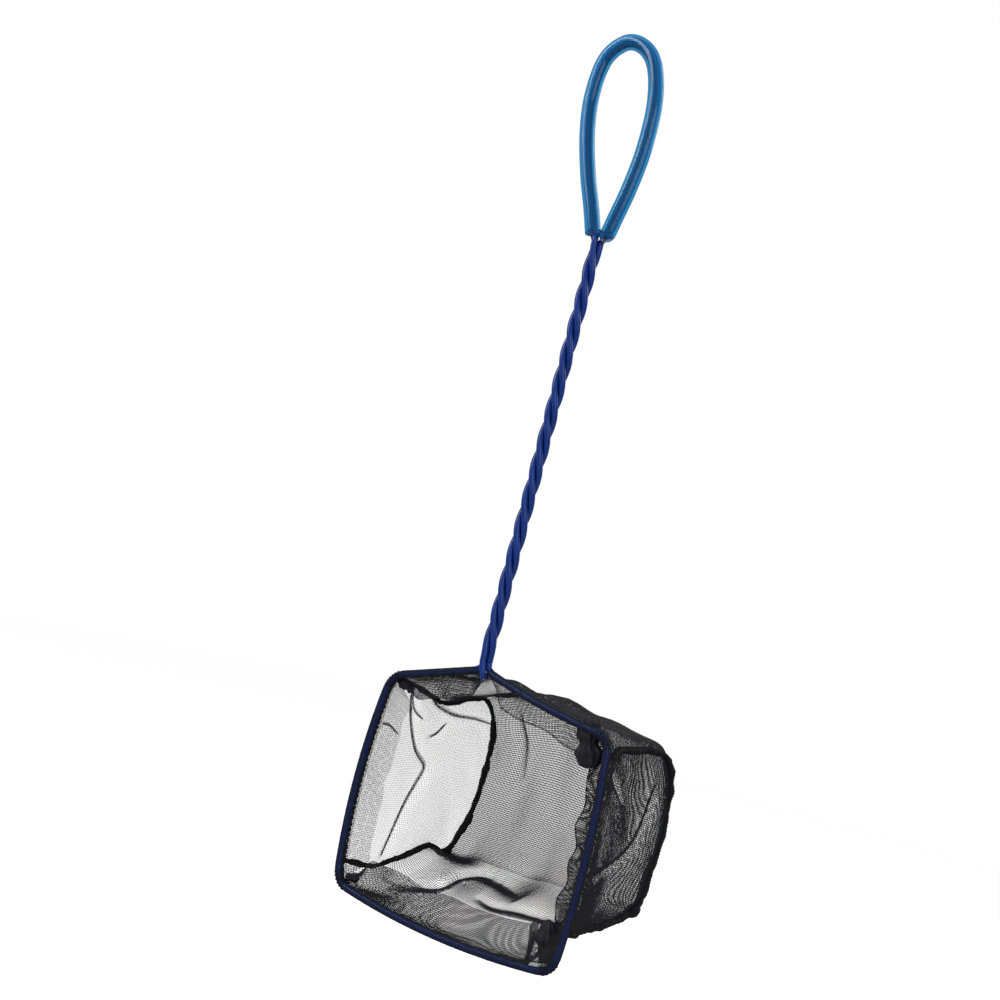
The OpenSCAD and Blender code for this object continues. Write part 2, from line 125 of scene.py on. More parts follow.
class FishNetSewing(PropertyGroup):
    """Sizes of the hems, the seams and the tacks."""
    stitch_line: length("Stitch line", "Distance of the hem's stitch line from the wire centre", 0.0034)
    flap: length("Free edge", "Width of the hem's free edge inside the mouth", 0.0115)
    hem_pitch: length("Hem pitch", "Spacing of the threads along a hem", 0.00075)
    wrap_thread: length("Wrap thread", "Thread depth of the cloth round the wire", 0.00025)
    stitch: length("Stitch", "Length of a running stitch", 0.0017)
    stitch_gap: length("Stitch gap", "Room between running stitches", 0.0009)
    stitch_thread: length("Stitch thread", "Thickness of the running stitch", 0.0005)
    seam_width: length("Seam width", "Width of the bound seam", 0.0032)
    seam_thickness: length("Seam thickness", "Thickness of the bound seam", 0.0021)
    bind_pitch: length("Binding pitch", "Spacing of the thread round the seam", 0.0013)
    bind_thread: length("Binding thread", "Thickness of the thread round the seam", 0.0004)
    tack_pitch: length("Tack pitch", "Spacing of the thread whipped round a corner", 0.0016)
    tack_thread: length("Tack thread", "Thickness of the thread whipped round a corner", 0.00036)


class FishNetFinish(PropertyGroup):
    """Colours of the finishes."""
    coating: colour("Coating", "Blue vinyl on the wire", (0.003, 0.025, 0.17))
    steel: colour("Steel", "Steel core at the cut ends", (0.55, 0.55, 0.56))
    sleeve: colour("Sleeve", "Body colour of the clear grip sleeve", (0.004, 0.15, 0.34))
    sleeve_tint: colour("Sleeve tint", "Tint of what shows through the sleeve", (0.28, 0.69, 0.87))
    netting: colour("Netting", "Black nylon thread", (0.013, 0.013, 0.015))
    stitching: colour("Stitching", "Black sewing thread", (0.005, 0.005, 0.006))


# Curves and surfaces, in the frame's axes and in metres
UP = np.array([0.0, 0.0, 1.0])
BACK = np.array([0.0, 1.0, 0.0])
# Points of the loop's wire, in shares of its width and of its height above the twist
LOOP_SHARES = [
    (-0.1, 0.045), (-0.215, 0.17), (-0.395, 0.35), (-0.555, 0.56), (-0.615, 0.75), (-0.54, 0.925), (-0.28, 1),
    (0, 0.968), (0.22, 0.865), (0.345, 0.68), (0.345, 0.46), (0.265, 0.27), (0.16, 0.12), (0.105, 0.045)]
LOOP_TOP_SHARE = -0.28
STRAND_POINTS, LOOP_POINTS, SLEEVE_POINTS = 220, 181, 161
# How much of its lean the cut end in front of the hoop has at its middle
MIDDLE_LEAN = 0.4
# The shares of the loop at which the sleeve ends, and its clearance where it hangs on the wire
SLEEVE_SPAN = (0.075, 0.925)
SLEEVE_GAP = 0.00015
# The share at each end of the loop in which its wire is free, and the share in which it meets the sleeve
FREE_SHARE, MEET_SHARE = 0.1, 0.08
# The hoop's sides and corners. Each side starts at the corner of its own number.
TOP_LEFT, LEFT, BOTTOM, RIGHT, TOP_RIGHT = range(1, 6)
UPPER_LEFT, LOWER_LEFT, LOWER_RIGHT, UPPER_RIGHT = range(2, 6)
# The cloth leaves the wire at this angle up to this far from the lower right corner, and past it the angle
# eases to none
DRAWN_ANGLE, DRAWN_REACH, DRAWN_EASE = math.radians(68), 0.011, 0.006
# Points of the seams, in shares of the bag's depth and of the hoop's height
LEFT_SEAM = [
    (0.23, -0.145), (0.44, -0.187), (0.66, -0.163), (0.86, -0.14), (0.98, -0.26), (1, -0.434), (0.96, -0.63),
    (0.8, -0.826), (0.42, -0.9)]
RIGHT_SEAM = [
    (0.225, -0.167), (0.405, -0.163), (0.593, -0.158), (0.78, -0.173), (0.92, -0.289), (0.955, -0.46),
    (0.908, -0.616), (0.784, -0.797), (0.22, -0.862)]
# How far the fold in the floor lifts or drops the left seam, at these twentieths of its run
LEFT_LIFT = ((16, -0.0012), (17, 0.007), (18, 0.0035), (19, -0.0011))
# The share of the strip's width over which that lift fades out
LIFT_REACH = 0.3
# The shares of a seam at which the top panel meets the back and the back meets the floor
TOP_BACK, BACK_FLOOR = 0.4, 0.8
# How much of the shoulders' form is left where the top meets the back, and the share in which that fades
CROWN_BACK, CROWN_FADE = 0.67, 0.3
# Place and width of the soft fold in the floor
FOLD_PLACE, FOLD_WIDTH = 0.9, 0.05


def lerp(a, b, t):
    return a + (b - a) * t


def smooth(t):
    c = np.clip(t, 0, 1)
    return c * c * (3 - 2 * c)


def through(points, t):
    """Points at shares t of a smooth curve through the given ones."""
    p = np.asarray(points, float)
    t = np.atleast_1d(np.asarray(t, float))
    last = len(p) - 1
    p = np.vstack([2 * p[0] - p[1], p, 2 * p[-1] - p[-2]])
    i = np.clip(np.floor(t * last).astype(int), 0, last - 1)
    a, b, c, d = p[i], p[i + 1], p[i + 2], p[i + 3]
    f = (t * last - i)[:, None]
    return (
        2 * b + (c - a) * f + (2 * a - 5 * b + 4 * c - d) * f ** 2 + (3 * b - a - 3 * c + d) * f ** 3) / 2


def unit(rows):
    return rows / np.linalg.norm(rows, axis=1)[:, None]


def from_ends(count):
    """How many steps each of a row of points is from the nearer end of the row."""
    steps = np.arange(count)
    return np.minimum(steps, steps[::-1])


def lengths(points):
    """How far along a polyline each of its points is."""
    return np.concatenate([[0], np.cumsum(np.linalg.norm(np.diff(points, axis=0), axis=1))])


def along(points, t):
    """Points at shares t of a polyline's length."""
    s = lengths(points)
    return np.stack([np.interp(np.clip(t, 0, 1) * s[-1], s, points[:, k]) for k in range(3)], -1)


def evenly(points, step):
    """The same line, with points a step apart."""
    n = max(2, round(lengths(points)[-1] / step))
    return along(points, np.linspace(0, 1, n + 1))


def handle_curves(s):
    """The strands of the twist, the loop, the sleeve and the point that the net hangs from."""
    w, h = s.wire, s.hoop
    helix = (w.diameter + w.gap) / 2 / math.sin(math.radians(60))
    s.strand_x = helix * math.cos(math.radians(30))
    level_y = helix * math.sin(math.radians(30))
    low, high = h.neck_cut, h.neck_cut + w.twist
    sleeve_drop = (w.sleeve_id - w.diameter) / 2 - SLEEVE_GAP
    s.hang = np.array([
        LOOP_TOP_SHARE * w.loop_width, 0, high + w.loop_height - sleeve_drop - w.sleeve_od / 2])

    def strand(phase, low_tail=0.0, high_tail=0.0):
        """One of three strands 120 degrees apart, and its cut end below or above the twist."""
        q = np.linspace(0, 1, STRAND_POINTS)
        e = w.ease / w.twist
        whole = 1 - e
        turned = np.where(
            q < e, q * q / (2 * e) / whole,
            np.where(q > 1 - e, 1 - (1 - q) ** 2 / (2 * e) / whole, (q - e / 2) / whole))
        a = np.radians(phase - 360 * w.turns * turned)
        p = np.stack([
            helix * np.cos(a) - h.neck_offset * (1 - q), helix * np.sin(a) - level_y, low + q * w.twist], -1)
        if low_tail:
            aside = np.array([w.tail_bend, 0, 0])
            middle = p[0] - UP * low_tail * 0.5 + aside * MIDDLE_LEAN
            p = np.vstack([p[0] - UP * low_tail + aside, middle, p])
        if high_tail:
            p = np.vstack([p, p[-1] + UP * high_tail])
        return p - s.hang

    s.strands = {
        "a": strand(270, low_tail=w.low_tail), "b": strand(150, high_tail=w.high_tail), "c": strand(30)}
    loop = np.array(
        [[-s.strand_x, 0, high]] + [[x * w.loop_width, 0, high + z * w.loop_height] for x, z in LOOP_SHARES]
        + [[s.strand_x, 0, high]])
    share = np.linspace(0, 1, LOOP_POINTS)
    s.loop = through(loop, share) - s.hang
    head = np.gradient(s.loop, axis=0)
    inner_side = unit(np.stack([head[:, 2], 0 * share, -head[:, 0]], -1))
    held = smooth((share - FREE_SHARE) / MEET_SHARE) * smooth((1 - FREE_SHARE - share) / MEET_SHARE)
    s.loop = s.loop + held[:, None] * sleeve_drop * (inner_side - UP)
    s.sleeve = through(loop, np.linspace(*SLEEVE_SPAN, SLEEVE_POINTS)) - s.hang - UP * sleeve_drop


def hoop_curves(s):
    """The hoop's sides and corners, from the neck in bend and straight, from the hang point in the rest."""
    h = s.hoop
    corners = np.array([
        [-h.neck_offset - s.strand_x, 0, h.neck_cut], [-h.neck_offset - s.strand_x, 0, 0],
        [h.lean - h.top_width / 2, 0, -h.shoulder_drop], [-h.low_width / 2, 0, -h.height],
        [h.low_width / 2, 0, -h.height - h.right_drop],
        [h.lean + h.top_width / 2, 0, -h.shoulder_drop - h.right_drop],
        [-h.neck_offset + s.strand_x, 0, 0], [-h.neck_offset + s.strand_x, 0, h.neck_cut]])
    bows = [0, 0, h.left_bow, h.bottom_bow, h.right_bow, -h.shoulder_hollow, 0]
    cuts = [0, h.neck_cut] + [h.corner_cut] * 4 + [h.neck_cut, 0]

    def side_at(i, t):
        a, c = corners[i], corners[i + 1]
        run = c - a
        size = np.linalg.norm(run)
        t = lerp(cuts[i] / size, 1 - cuts[i + 1] / size, np.atleast_1d(t))[:, None]
        return lerp(a, c, t) + np.array([run[2], 0, -run[0]]) / size * bows[i] * 4 * t * (1 - t)

    def bend(i, t):
        a, c = side_at(i - 1, 1.0)[0], side_at(i, 0.0)[0]
        t = np.atleast_1d(t)[:, None]
        return lerp(lerp(a, corners[i], t), lerp(corners[i], c, t), t)

    s.bend = bend
    s.straight = lambda i: side_at(i, np.linspace(0, 1, 25))
    s.side = lambda i: s.straight(i) - s.hang
    s.corner = lambda i, count: bend(i, np.linspace(0, 1, count)) - s.hang
    inner = np.linspace(0, 1, 11)[1:-1]
    s.hoop_path = np.vstack(
        [corners[:1]] + [part for i in range(1, 6) for part in (bend(i, inner), s.straight(i))]
        + [bend(6, inner), corners[-1:]]) - s.hang


def bag_surfaces(s):
    """The panels' front edges, the seams and the surfaces of the strip and the two gussets."""
    h, b = s.hoop, s.bag
    half = np.linspace(0.5, 1, 6)[:-1]

    def edge(i):
        """The wire from the middle of a side's first corner to the middle of its last one."""
        return np.vstack([s.bend(i, half), s.straight(i), s.bend(i + 1, 1 - half[::-1])])

    def part(points, first, last, count):
        return along(points, np.linspace(first, last, count) / lengths(points)[-1])

    def deep(points, low_corner):
        """The ways the cloth leaves the wire and its free edge stands from it, and their angle."""
        inward = unit(np.cross(np.gradient(points, axis=0), BACK))
        away = np.linalg.norm(points - low_corner, axis=1)
        angle = DRAWN_ANGLE * (1 - smooth((away - DRAWN_REACH) / DRAWN_EASE))[:, None]
        return (
            np.cos(angle) * BACK + np.sin(angle) * inward, np.cos(angle) * inward - np.sin(angle) * BACK,
            angle[:, 0])

    low_corner = s.bend(LOWER_RIGHT, 0.5)[0]
    s.deep = lambda points: deep(points, low_corner - s.hang)
    left, right = edge(LEFT), edge(RIGHT)
    left_size, right_size = lengths(left)[-1], lengths(right)[-1]
    low_left, low_right, high_right = b.low_left_gather, b.low_right_gather, b.high_right_gather
    s.front_left = part(left, 0, left_size - low_left, 40) + BACK * b.front_gap
    s.front_right = part(right, low_right, right_size - high_right, 40)[::-1] + BACK * b.front_gap
    bottom = np.vstack([
        part(left, left_size - low_left, left_size, 7), edge(BOTTOM)[1:-1], part(right, 0, low_right, 12)])
    s.front_bottom = bottom + deep(bottom, low_corner)[0] * b.front_gap
    top = np.vstack([
        s.bend(UPPER_RIGHT, half), s.straight(TOP_RIGHT), s.straight(TOP_LEFT),
        s.bend(UPPER_LEFT, 1 - half[::-1])])
    s.front_top = np.vstack([
        top[::-1], part(right, right_size - high_right, right_size, 9)[::-1][1:]]) + BACK * b.front_gap

    def seam_points(sign, corner, shares, front):
        top_x = abs(s.bend(corner, 0.5)[0][0])
        return np.array(
            [front[0]] + [[sign * (top_x - y * b.lean), y * b.depth, z * h.height] for y, z in shares]
            + [front[-1]])

    level_left = through(seam_points(-1, UPPER_LEFT, LEFT_SEAM, s.front_left), np.linspace(0, 1, 21))
    s.left_points = level_left.copy()
    for place, lift in LEFT_LIFT:
        s.left_points[place, 2] += lift
    s.right_points = seam_points(1, UPPER_RIGHT, RIGHT_SEAM, s.front_right)

    def crown(line, t):
        """How far a line departs from the straight one between its ends."""
        p = along(line, t) - lerp(line[0], line[-1], np.asarray(t)[..., None])
        return p * np.array([1, 0, 1])

    def strip(t, u):
        """The top, back and floor: u runs over them, t from the left seam to the right one."""
        u, t = np.ravel(u), np.ravel(t)
        left, right = through(level_left, u), through(s.right_points, u)
        lifted = (through(s.left_points, u) - left) * smooth(1 - t / LIFT_REACH)[:, None]
        faded = CROWN_BACK * (1 - smooth((u - TOP_BACK) / CROWN_FADE))
        top = np.where(u < TOP_BACK, lerp(1, CROWN_BACK, u / TOP_BACK), faded)
        floor = smooth((u - BACK_FLOOR) / (1 - BACK_FLOOR))
        belly = b.back_belly * smooth(u / TOP_BACK) * (1 - floor) * 4 * t * (1 - t)
        fold = b.floor_fold * np.exp(-((u - FOLD_PLACE) / FOLD_WIDTH) ** 2)
        fold = fold * np.sin(2 * np.pi * t) * np.sin(np.pi * t)
        p = lerp(left, right, t[:, None]) + crown(s.front_top, t) * top[:, None]
        p = p + crown(s.front_bottom, t) * floor[:, None]
        return p + lifted + np.stack([0 * u, belly, fold], -1) - s.hang

    def gusset(points, line, q, v, sign):
        """A side panel: q runs from the hoop back to the seam, v from the top to the floor."""
        q, v = np.ravel(q)[:, None], np.ravel(v)[:, None]
        top = through(points, TOP_BACK * q[:, 0])
        low_edge = through(points, lerp(1, BACK_FLOOR, q[:, 0]))
        front = along(line, v[:, 0])
        rear = through(points, lerp(TOP_BACK, BACK_FLOOR, v[:, 0]))
        a, c = through(points, [TOP_BACK, BACK_FLOOR])
        mixed = lerp(lerp(line[0], a, q), lerp(line[-1], c, q), v)
        out = sign * b.gusset_belly * np.sin(np.pi * v) * np.sin(np.pi * q)
        return lerp(top, low_edge, v) + lerp(front, rear, q) - mixed + out * np.array([1, 0, 0]) - s.hang

    s.strip = strip
    s.left_gusset = lambda q, v: gusset(s.left_points, s.front_left, q, v, -1)
    s.right_gusset = lambda q, v: gusset(s.right_points, s.front_right, q, v, 1)


def net_shape(context):
    """Every curve and surface that the pieces follow, worked out from the panel's sizes."""
    scene = context.scene
    s = SimpleNamespace(
        wire=scene.fish_net_wire, hoop=scene.fish_net_hoop, bag=scene.fish_net_bag,
        sewing=scene.fish_net_sewing, colours=scene.fish_net_finish)
    handle_curves(s)
    hoop_curves(s)
    bag_surfaces(s)
    return s


# Making pieces
def mesh_of(name, bm):
    """The bmesh as a mesh, which frees it."""
    mesh = bpy.data.meshes.new(name)
    bm.to_mesh(mesh)
    bm.free()
    return mesh


def axes_at(x, y, z, place):
    """A matrix from its axes and its place."""
    m = Matrix((x, y, z)).transposed().to_4x4()
    m.translation = place
    return m


def new_object(name, data):
    made = bpy.data.objects.new(name, data)
    bpy.context.scene.collection.objects.link(made)
    return made


def finish_piece(name, bm, material, replaced=()):
    """A bmesh becomes a named piece at the origin, which rides on the body and stands for its nodes."""
    mesh = mesh_of(name, bm)
    mesh.shade_smooth()
    piece = new_object(name, mesh)
    mesh.materials.append(material)
    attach(piece, "root")
    if replaced:
        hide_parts(*replaced)
    return piece


def path_frames(path, level, first=None, last=None):
    """A matrix at each point of a path, with Z along it and X kept level."""
    steps = np.diff(path, axis=0)
    heads = np.vstack([steps[:1], steps[:-1] + steps[1:], steps[-1:]])
    if first is not None:
        heads[0] = first
    if last is not None:
        heads[-1] = last
    made = []
    across = Vector(level)
    for p, head in zip(path, heads):
        z = Vector(head).normalized()
        across = (across - z * across.dot(z)).normalized()
        made.append(axes_at(across, z.cross(across), z, Vector(p)))
    return made


def sweep(
        bm, path, width, sides, thickness=None, level=(0, 1, 0), first=None, last=None, sizes=None, cap=True):
    """Extrudes a round or oval ring along a path. sizes scales the ring at each point."""
    frames = path_frames(path, level, first, last)
    sizes = np.ones(len(path)) if sizes is None else sizes
    oval = Matrix.Diagonal((width / 2, (thickness or width) / 2, 1, 1))
    placed = [f @ Matrix.Scale(k, 4) @ oval for f, k in zip(frames, sizes)]
    ring = bmesh.ops.create_circle(bm, cap_ends=False, radius=1, segments=sides)["verts"]
    bmesh.ops.transform(bm, matrix=placed[0], verts=ring)
    edges = list(dict.fromkeys(e for v in ring for e in v.link_edges))
    if cap:
        bmesh.ops.contextual_create(bm, geom=edges)
    for before, after in zip(placed, placed[1:]):
        made = bmesh.ops.extrude_edge_only(bm, edges=edges)["geom"]
        ring = [g for g in made if isinstance(g, bmesh.types.BMVert)]
        edges = [g for g in made if isinstance(g, bmesh.types.BMEdge) and all(v in ring for v in g.verts)]
        bmesh.ops.transform(bm, matrix=after @ before.inverted(), verts=ring)
    if cap:
        bmesh.ops.contextual_create(bm, geom=edges)
    return bm


def outward(bm):
    bmesh.ops.recalc_face_normals(bm, faces=bm.faces[:])
    return bm


def tube(bm, path, outside, bore, sides):
    """An open tube with a wall: an outer and an inner sweep whose ends are bridged."""
    ends = []
    for size in (outside, bore):
        before = set(bm.edges)
        sweep(bm, path, size, sides, cap=False)
        ends += [e for e in bm.edges if e not in before and e.is_boundary]
    for middle in (Vector(path[0]), Vector(path[-1])):
        near = [e for e in ends if (e.verts[0].co - middle).length < outside]
        bmesh.ops.bridge_loops(bm, edges=near)
    return outward(bm)


# Cloth. Shares of a surface run from one edge to the other, q across it and v down it.
CREASE_STEPS = 80
# How far a crease draws the threads to it, in its own widths
PULL_REACH = 1.9
# The shares that are cut off a crease's and a tuck's fading at each end
CREASE_ENDS, TUCK_ENDS = 0.06, 0.03
# Distance from a panel's edge over which its creases and its ripples start
CREASE_START, RIPPLE_START = 0.002, 0.012
RIPPLE_COUNT, SHORTEST_RIPPLE, LONGEST_RIPPLE = 6, 0.014, 0.045
# How unevenly the threads lie
JITTER = 0.00003


def thread_places(total, pitch):
    """Shares of a length at which threads lie, from one edge to the other."""
    return np.linspace(0, 1, max(3, round(total / pitch)) + 1)


def cut_size(at):
    """The longest run over a surface each way, and its area."""
    count = 41
    q, v = np.meshgrid(np.linspace(0, 1, count), np.linspace(0, 1, count))
    p = at(q.ravel(), v.ravel()).reshape(count, count, 3)
    a, c = p[1:, 1:] - p[:-1, :-1], p[1:, :-1] - p[:-1, 1:]
    area = np.linalg.norm(np.cross(a, c), axis=2).sum() / 2
    depth = max(lengths(row)[-1] for row in p)
    height = max(lengths(p[:, k])[-1] for k in range(count))
    return float(depth), float(height), float(area)


def upright(at, q, v):
    """The surface's normals."""
    step = 0.002
    square = np.cross(at(q + step, v) - at(q - step, v), at(q, v + step) - at(q, v - step))
    return square / (np.linalg.norm(square, axis=1)[:, None] + 1e-12)


def fading(share, start):
    """1 midway along a crease and less towards its ends, as if a share start were cut off at each end."""
    return np.sqrt(np.sin(np.pi * lerp(start, 1 - start, share)))


def to_edge(q, v, size):
    """Each point's distance from the nearest edge."""
    return np.minimum(np.minimum(q, 1 - q) * size[0], np.minimum(v, 1 - v) * size[1])


def creased(q, v, size, creases):
    """Pulls a panel's threads towards its creases, and gives how high each point is raised there."""
    size = np.array(size)
    place = np.stack([q, v], -1) * size
    raised = np.zeros(len(q))
    start = np.clip(to_edge(q, v, size) / CREASE_START, 0, 1)
    for points, width, rise, pull in creases:
        line = through(np.array(points) * size, np.linspace(0, 1, CREASE_STEPS))
        away = place[:, None] - line[None]
        nearest = np.linalg.norm(away, axis=2).argmin(1)
        away = away[np.arange(len(q)), nearest]
        fade = fading(nearest / (CREASE_STEPS - 1), CREASE_ENDS) * start
        distance = np.linalg.norm(away, axis=1)
        drawn = pull * fade * np.exp(-(distance / (PULL_REACH * width)) ** 2)
        place = place - away * drawn[:, None]
        raised += rise * fade * np.exp(-(distance * (1 - drawn) / width) ** 2)
    q, v = (np.clip(place / size, 0, 1)).T
    return q, v, raised


def ripples(q, v, size, height, seed):
    """Slack waves, which die away at the panel's edges."""
    rng = np.random.default_rng(seed)
    total = np.zeros(len(q))
    for _ in range(RIPPLE_COUNT):
        angle, wave = rng.uniform(0, 2 * np.pi), rng.uniform(SHORTEST_RIPPLE, LONGEST_RIPPLE)
        phase = rng.uniform(0, 2 * np.pi)
        along_wave = q * size[0] * np.cos(angle) + v * size[1] * np.sin(angle)
        total += np.sin(2 * np.pi * along_wave / wave + phase) * wave / LONGEST_RIPPLE
    return total * height / 2 * smooth(to_edge(q, v, size) / RIPPLE_START)


def netting(at, across, down, size, threads, creases=(), ripple=0.0, seed=1, closed=False):
    """A grid laid on a surface and turned to threads. at gives points from two arrays of shares, across and
    down say where the threads lie, and size is the surface's real width and length. threads gives bands of
    rows, each as its last row and the depth of its threads. closed threads have both of their sides at the
    panel's edges too."""
    bm = bmesh.new()
    nx, ny = len(across) - 1, len(down) - 1
    bmesh.ops.create_grid(bm, x_segments=nx, y_segments=ny, size=0.5)
    flat = np.array([v.co for v in bm.verts])
    q = across[np.rint((flat[:, 0] + 0.5) * nx).astype(int)]
    v = down[np.rint((flat[:, 1] + 0.5) * ny).astype(int)]
    q, v, raised = creased(q, v, size, creases)
    if ripple:
        raised = raised + ripples(q, v, size, ripple, seed)
    place = at(q, v) + upright(at, q, v) * raised[:, None]
    place += np.random.default_rng(seed).normal(0, JITTER, place.shape)
    rows = [(face, (face.calc_center_median().y + 0.5) * ny) for face in bm.faces]
    for vertex, p in zip(bm.verts, place):
        vertex.co = p
    bm.normal_update()
    first = 0
    for last, depth in threads:
        bmesh.ops.wireframe(
            bm, faces=[face for face, row in rows if first <= row < last], thickness=depth, offset=0.0,
            use_replace=True, use_boundary=closed, use_even_offset=False, use_relative_offset=False)
        first = last
    return bm


def tuck(bm, at, size, crease, thread):
    """Lays a narrow fold of the same cloth over a crease."""
    size = np.array(size)
    share = np.linspace(0, 1, 200)
    line = through(np.array(crease.points) * size, share)
    heads = np.gradient(line, axis=0)
    aside = unit(np.stack([-heads[:, 1], heads[:, 0]], -1))
    long_pitch, wide_rows, clearance, margin = 0.00045, 5, 0.0003, 0.003

    def over(t, side):
        fade = fading(np.clip(t, 0, 1), TUCK_ENDS)
        middle, out = (
            np.stack([np.interp(t, share, rows[:, k]) for k in (0, 1)], -1) for rows in (line, aside))
        place = (middle + out * ((side - 0.5) * crease.width * fade)[:, None]) / size
        q, v = np.clip(place, margin, 1 - margin).T
        return at(q, v) + upright(at, q, v) * (crease.rise * fade + clearance)[:, None]

    fold = netting(
        over, thread_places(lengths(line)[-1], long_pitch), np.linspace(0, 1, wide_rows + 1), (1, 1),
        [(wide_rows + 1, thread)], closed=True)
    mesh = mesh_of("fold", fold)
    bm.from_mesh(mesh)
    bpy.data.meshes.remove(mesh)


# Materials
GRAIN_DEPTH = 0.0002
# The first sockets of a Mix node in colour mode, and its result
MIX_A, MIX_B, MIX_RESULT = 6, 7, 2
# The share of body colour in the sleeve's clear wall, its skin's shine and the roughness of that
BODY_SHARE, SKIN_SHINE, SKIN_ROUGHNESS = 0.27, 0.6, 0.12


def node_tree_of(name):
    material = bpy.data.materials.new(name)
    material.use_nodes = True
    tree = material.node_tree
    return material, tree, tree.nodes["Principled BSDF"]


def add(tree, kind, **settings):
    """A new node with its mode, its node group or its sockets set."""
    node = tree.nodes.new("ShaderNode" + kind)
    for key, value in settings.items():
        if key in ("operation", "data_type", "node_tree"):
            setattr(node, key, value)
        else:
            node.inputs[key.replace("_", " ")].default_value = value
    return node


def connect(tree, *links):
    """Links, each from an output of one node to an input of another."""
    for start, output, end, socket in links:
        tree.links.new(start.outputs[output], end.inputs[socket])


def mottle_group():
    """Group: soft patches and fine grain, as a colour, a height and a mask."""
    if "Mottle and grain" in bpy.data.node_groups:
        return bpy.data.node_groups["Mottle and grain"]
    group = bpy.data.node_groups.new("Mottle and grain", "ShaderNodeTree")
    for name, kind, way in (
            ("Vector", "Vector", "INPUT"), ("Patch scale", "Float", "INPUT"),
            ("Grain scale", "Float", "INPUT"), ("Light", "Color", "INPUT"), ("Dark", "Color", "INPUT"),
            ("Colour", "Color", "OUTPUT"), ("Height", "Float", "OUTPUT"), ("Patch", "Float", "OUTPUT")):
        group.interface.new_socket(name=name, in_out=way, socket_type="NodeSocket" + kind)
    given, result = group.nodes.new("NodeGroupInput"), group.nodes.new("NodeGroupOutput")
    patch = add(group, "TexNoise", Detail=3.0, Roughness=0.6)
    grain = add(group, "TexNoise", Detail=2.0, Roughness=0.5)
    mix = add(group, "Mix", data_type="RGBA")
    connect(
        group, (given, "Vector", patch, "Vector"), (given, "Vector", grain, "Vector"),
        (given, "Patch scale", patch, "Scale"), (given, "Grain scale", grain, "Scale"),
        (patch, "Fac", mix, "Factor"), (given, "Dark", mix, MIX_A), (given, "Light", mix, MIX_B),
        (mix, MIX_RESULT, result, "Colour"), (grain, "Fac", result, "Height"),
        (patch, "Fac", result, "Patch"))
    return group


def mottled(name, tone, shades, patch, grain, roughness, bump, **constants):
    """A Principled material in two shades of a colour, with fine grain. constants go on its own sockets."""
    if name in bpy.data.materials:
        return bpy.data.materials[name]
    dark, light = ((*(min(1.0, c * shade) for c in tone), 1) for shade in shades)
    material, tree, shader = node_tree_of(name)
    place, group = add(tree, "TexCoord"), add(tree, "Group", node_tree=mottle_group())
    for socket, value in (("Patch scale", patch), ("Grain scale", grain), ("Dark", dark), ("Light", light)):
        group.inputs[socket].default_value = value
    spread = add(tree, "MapRange", To_Min=roughness[0], To_Max=roughness[1])
    relief = add(tree, "Bump", Strength=bump, Distance=GRAIN_DEPTH)
    connect(
        tree, (place, "Object", group, "Vector"), (group, "Colour", shader, "Base Color"),
        (group, "Patch", spread, "Value"), (spread, "Result", shader, "Roughness"),
        (group, "Height", relief, "Height"), (relief, "Normal", shader, "Normal"))
    for key, value in constants.items():
        shader.inputs[key.replace("_", " ")].default_value = value
    return material


def coating_material(colours):
    return mottled(
        "blue vinyl coating", colours.coating, shades=(0.75, 1.3), patch=90.0, grain=1400.0,
        roughness=(0.2, 0.34), bump=0.15, Specular_IOR_Level=0.22)


def steel_material(colours):
    return mottled(
        "drawn steel core", colours.steel, shades=(0.8, 1.1), patch=800.0, grain=4000.0,
        roughness=(0.25, 0.4), bump=0.2, Metallic=1.0)


def sleeve_material(colours):
    """Clear vinyl: a tinted wall, darker at its edges, with some body colour and a glossy skin."""
    material = mottled(
        "clear teal sleeve", colours.sleeve, shades=(0.85, 1.15), patch=40.0, grain=700.0,
        roughness=(0.3, 0.45), bump=0.08, Specular_IOR_Level=0.0)
    tree = material.node_tree
    body, output = tree.nodes["Principled BSDF"], tree.nodes["Material Output"]
    clear, edge = add(tree, "BsdfTransparent"), add(tree, "LayerWeight", Blend=0.5)
    thicker = add(tree, "Mix", data_type="RGBA")
    thicker.inputs[MIX_A].default_value = (*colours.sleeve_tint, 1)
    thicker.inputs[MIX_B].default_value = (*(c ** 2.2 for c in colours.sleeve_tint), 1)
    skin, fresnel = add(tree, "BsdfGlossy", Roughness=SKIN_ROUGHNESS), add(tree, "Fresnel", IOR=1.45)
    wall, whole = add(tree, "MixShader", Fac=BODY_SHARE), add(tree, "MixShader")
    faces, shine = add(tree, "NewGeometry"), add(tree, "MapRange", To_Min=SKIN_SHINE, To_Max=0.0)
    level = add(tree, "Math", operation="MULTIPLY")
    connect(
        tree, (edge, "Facing", thicker, "Factor"), (thicker, MIX_RESULT, clear, "Color"),
        (faces, "Backfacing", shine, "Value"), (shine, "Result", level, 0), (fresnel, 0, level, 1),
        (clear, 0, wall, 1), (body, 0, wall, 2), (level, 0, whole, "Fac"), (wall, 0, whole, 1),
        (skin, 0, whole, 2), (whole, 0, output, "Surface"))
    return material


def netting_material(colours):
    return mottled(
        "black nylon netting", colours.netting, shades=(0.7, 1.6), patch=120.0, grain=3000.0,
        roughness=(0.45, 0.65), bump=0.2, Specular_IOR_Level=0.12)


def stitching_material(colours):
    return mottled(
        "black sewing thread", colours.stitching, shades=(0.7, 1.8), patch=300.0, grain=5000.0,
        roughness=(0.5, 0.7), bump=0.3, Specular_IOR_Level=0.12)


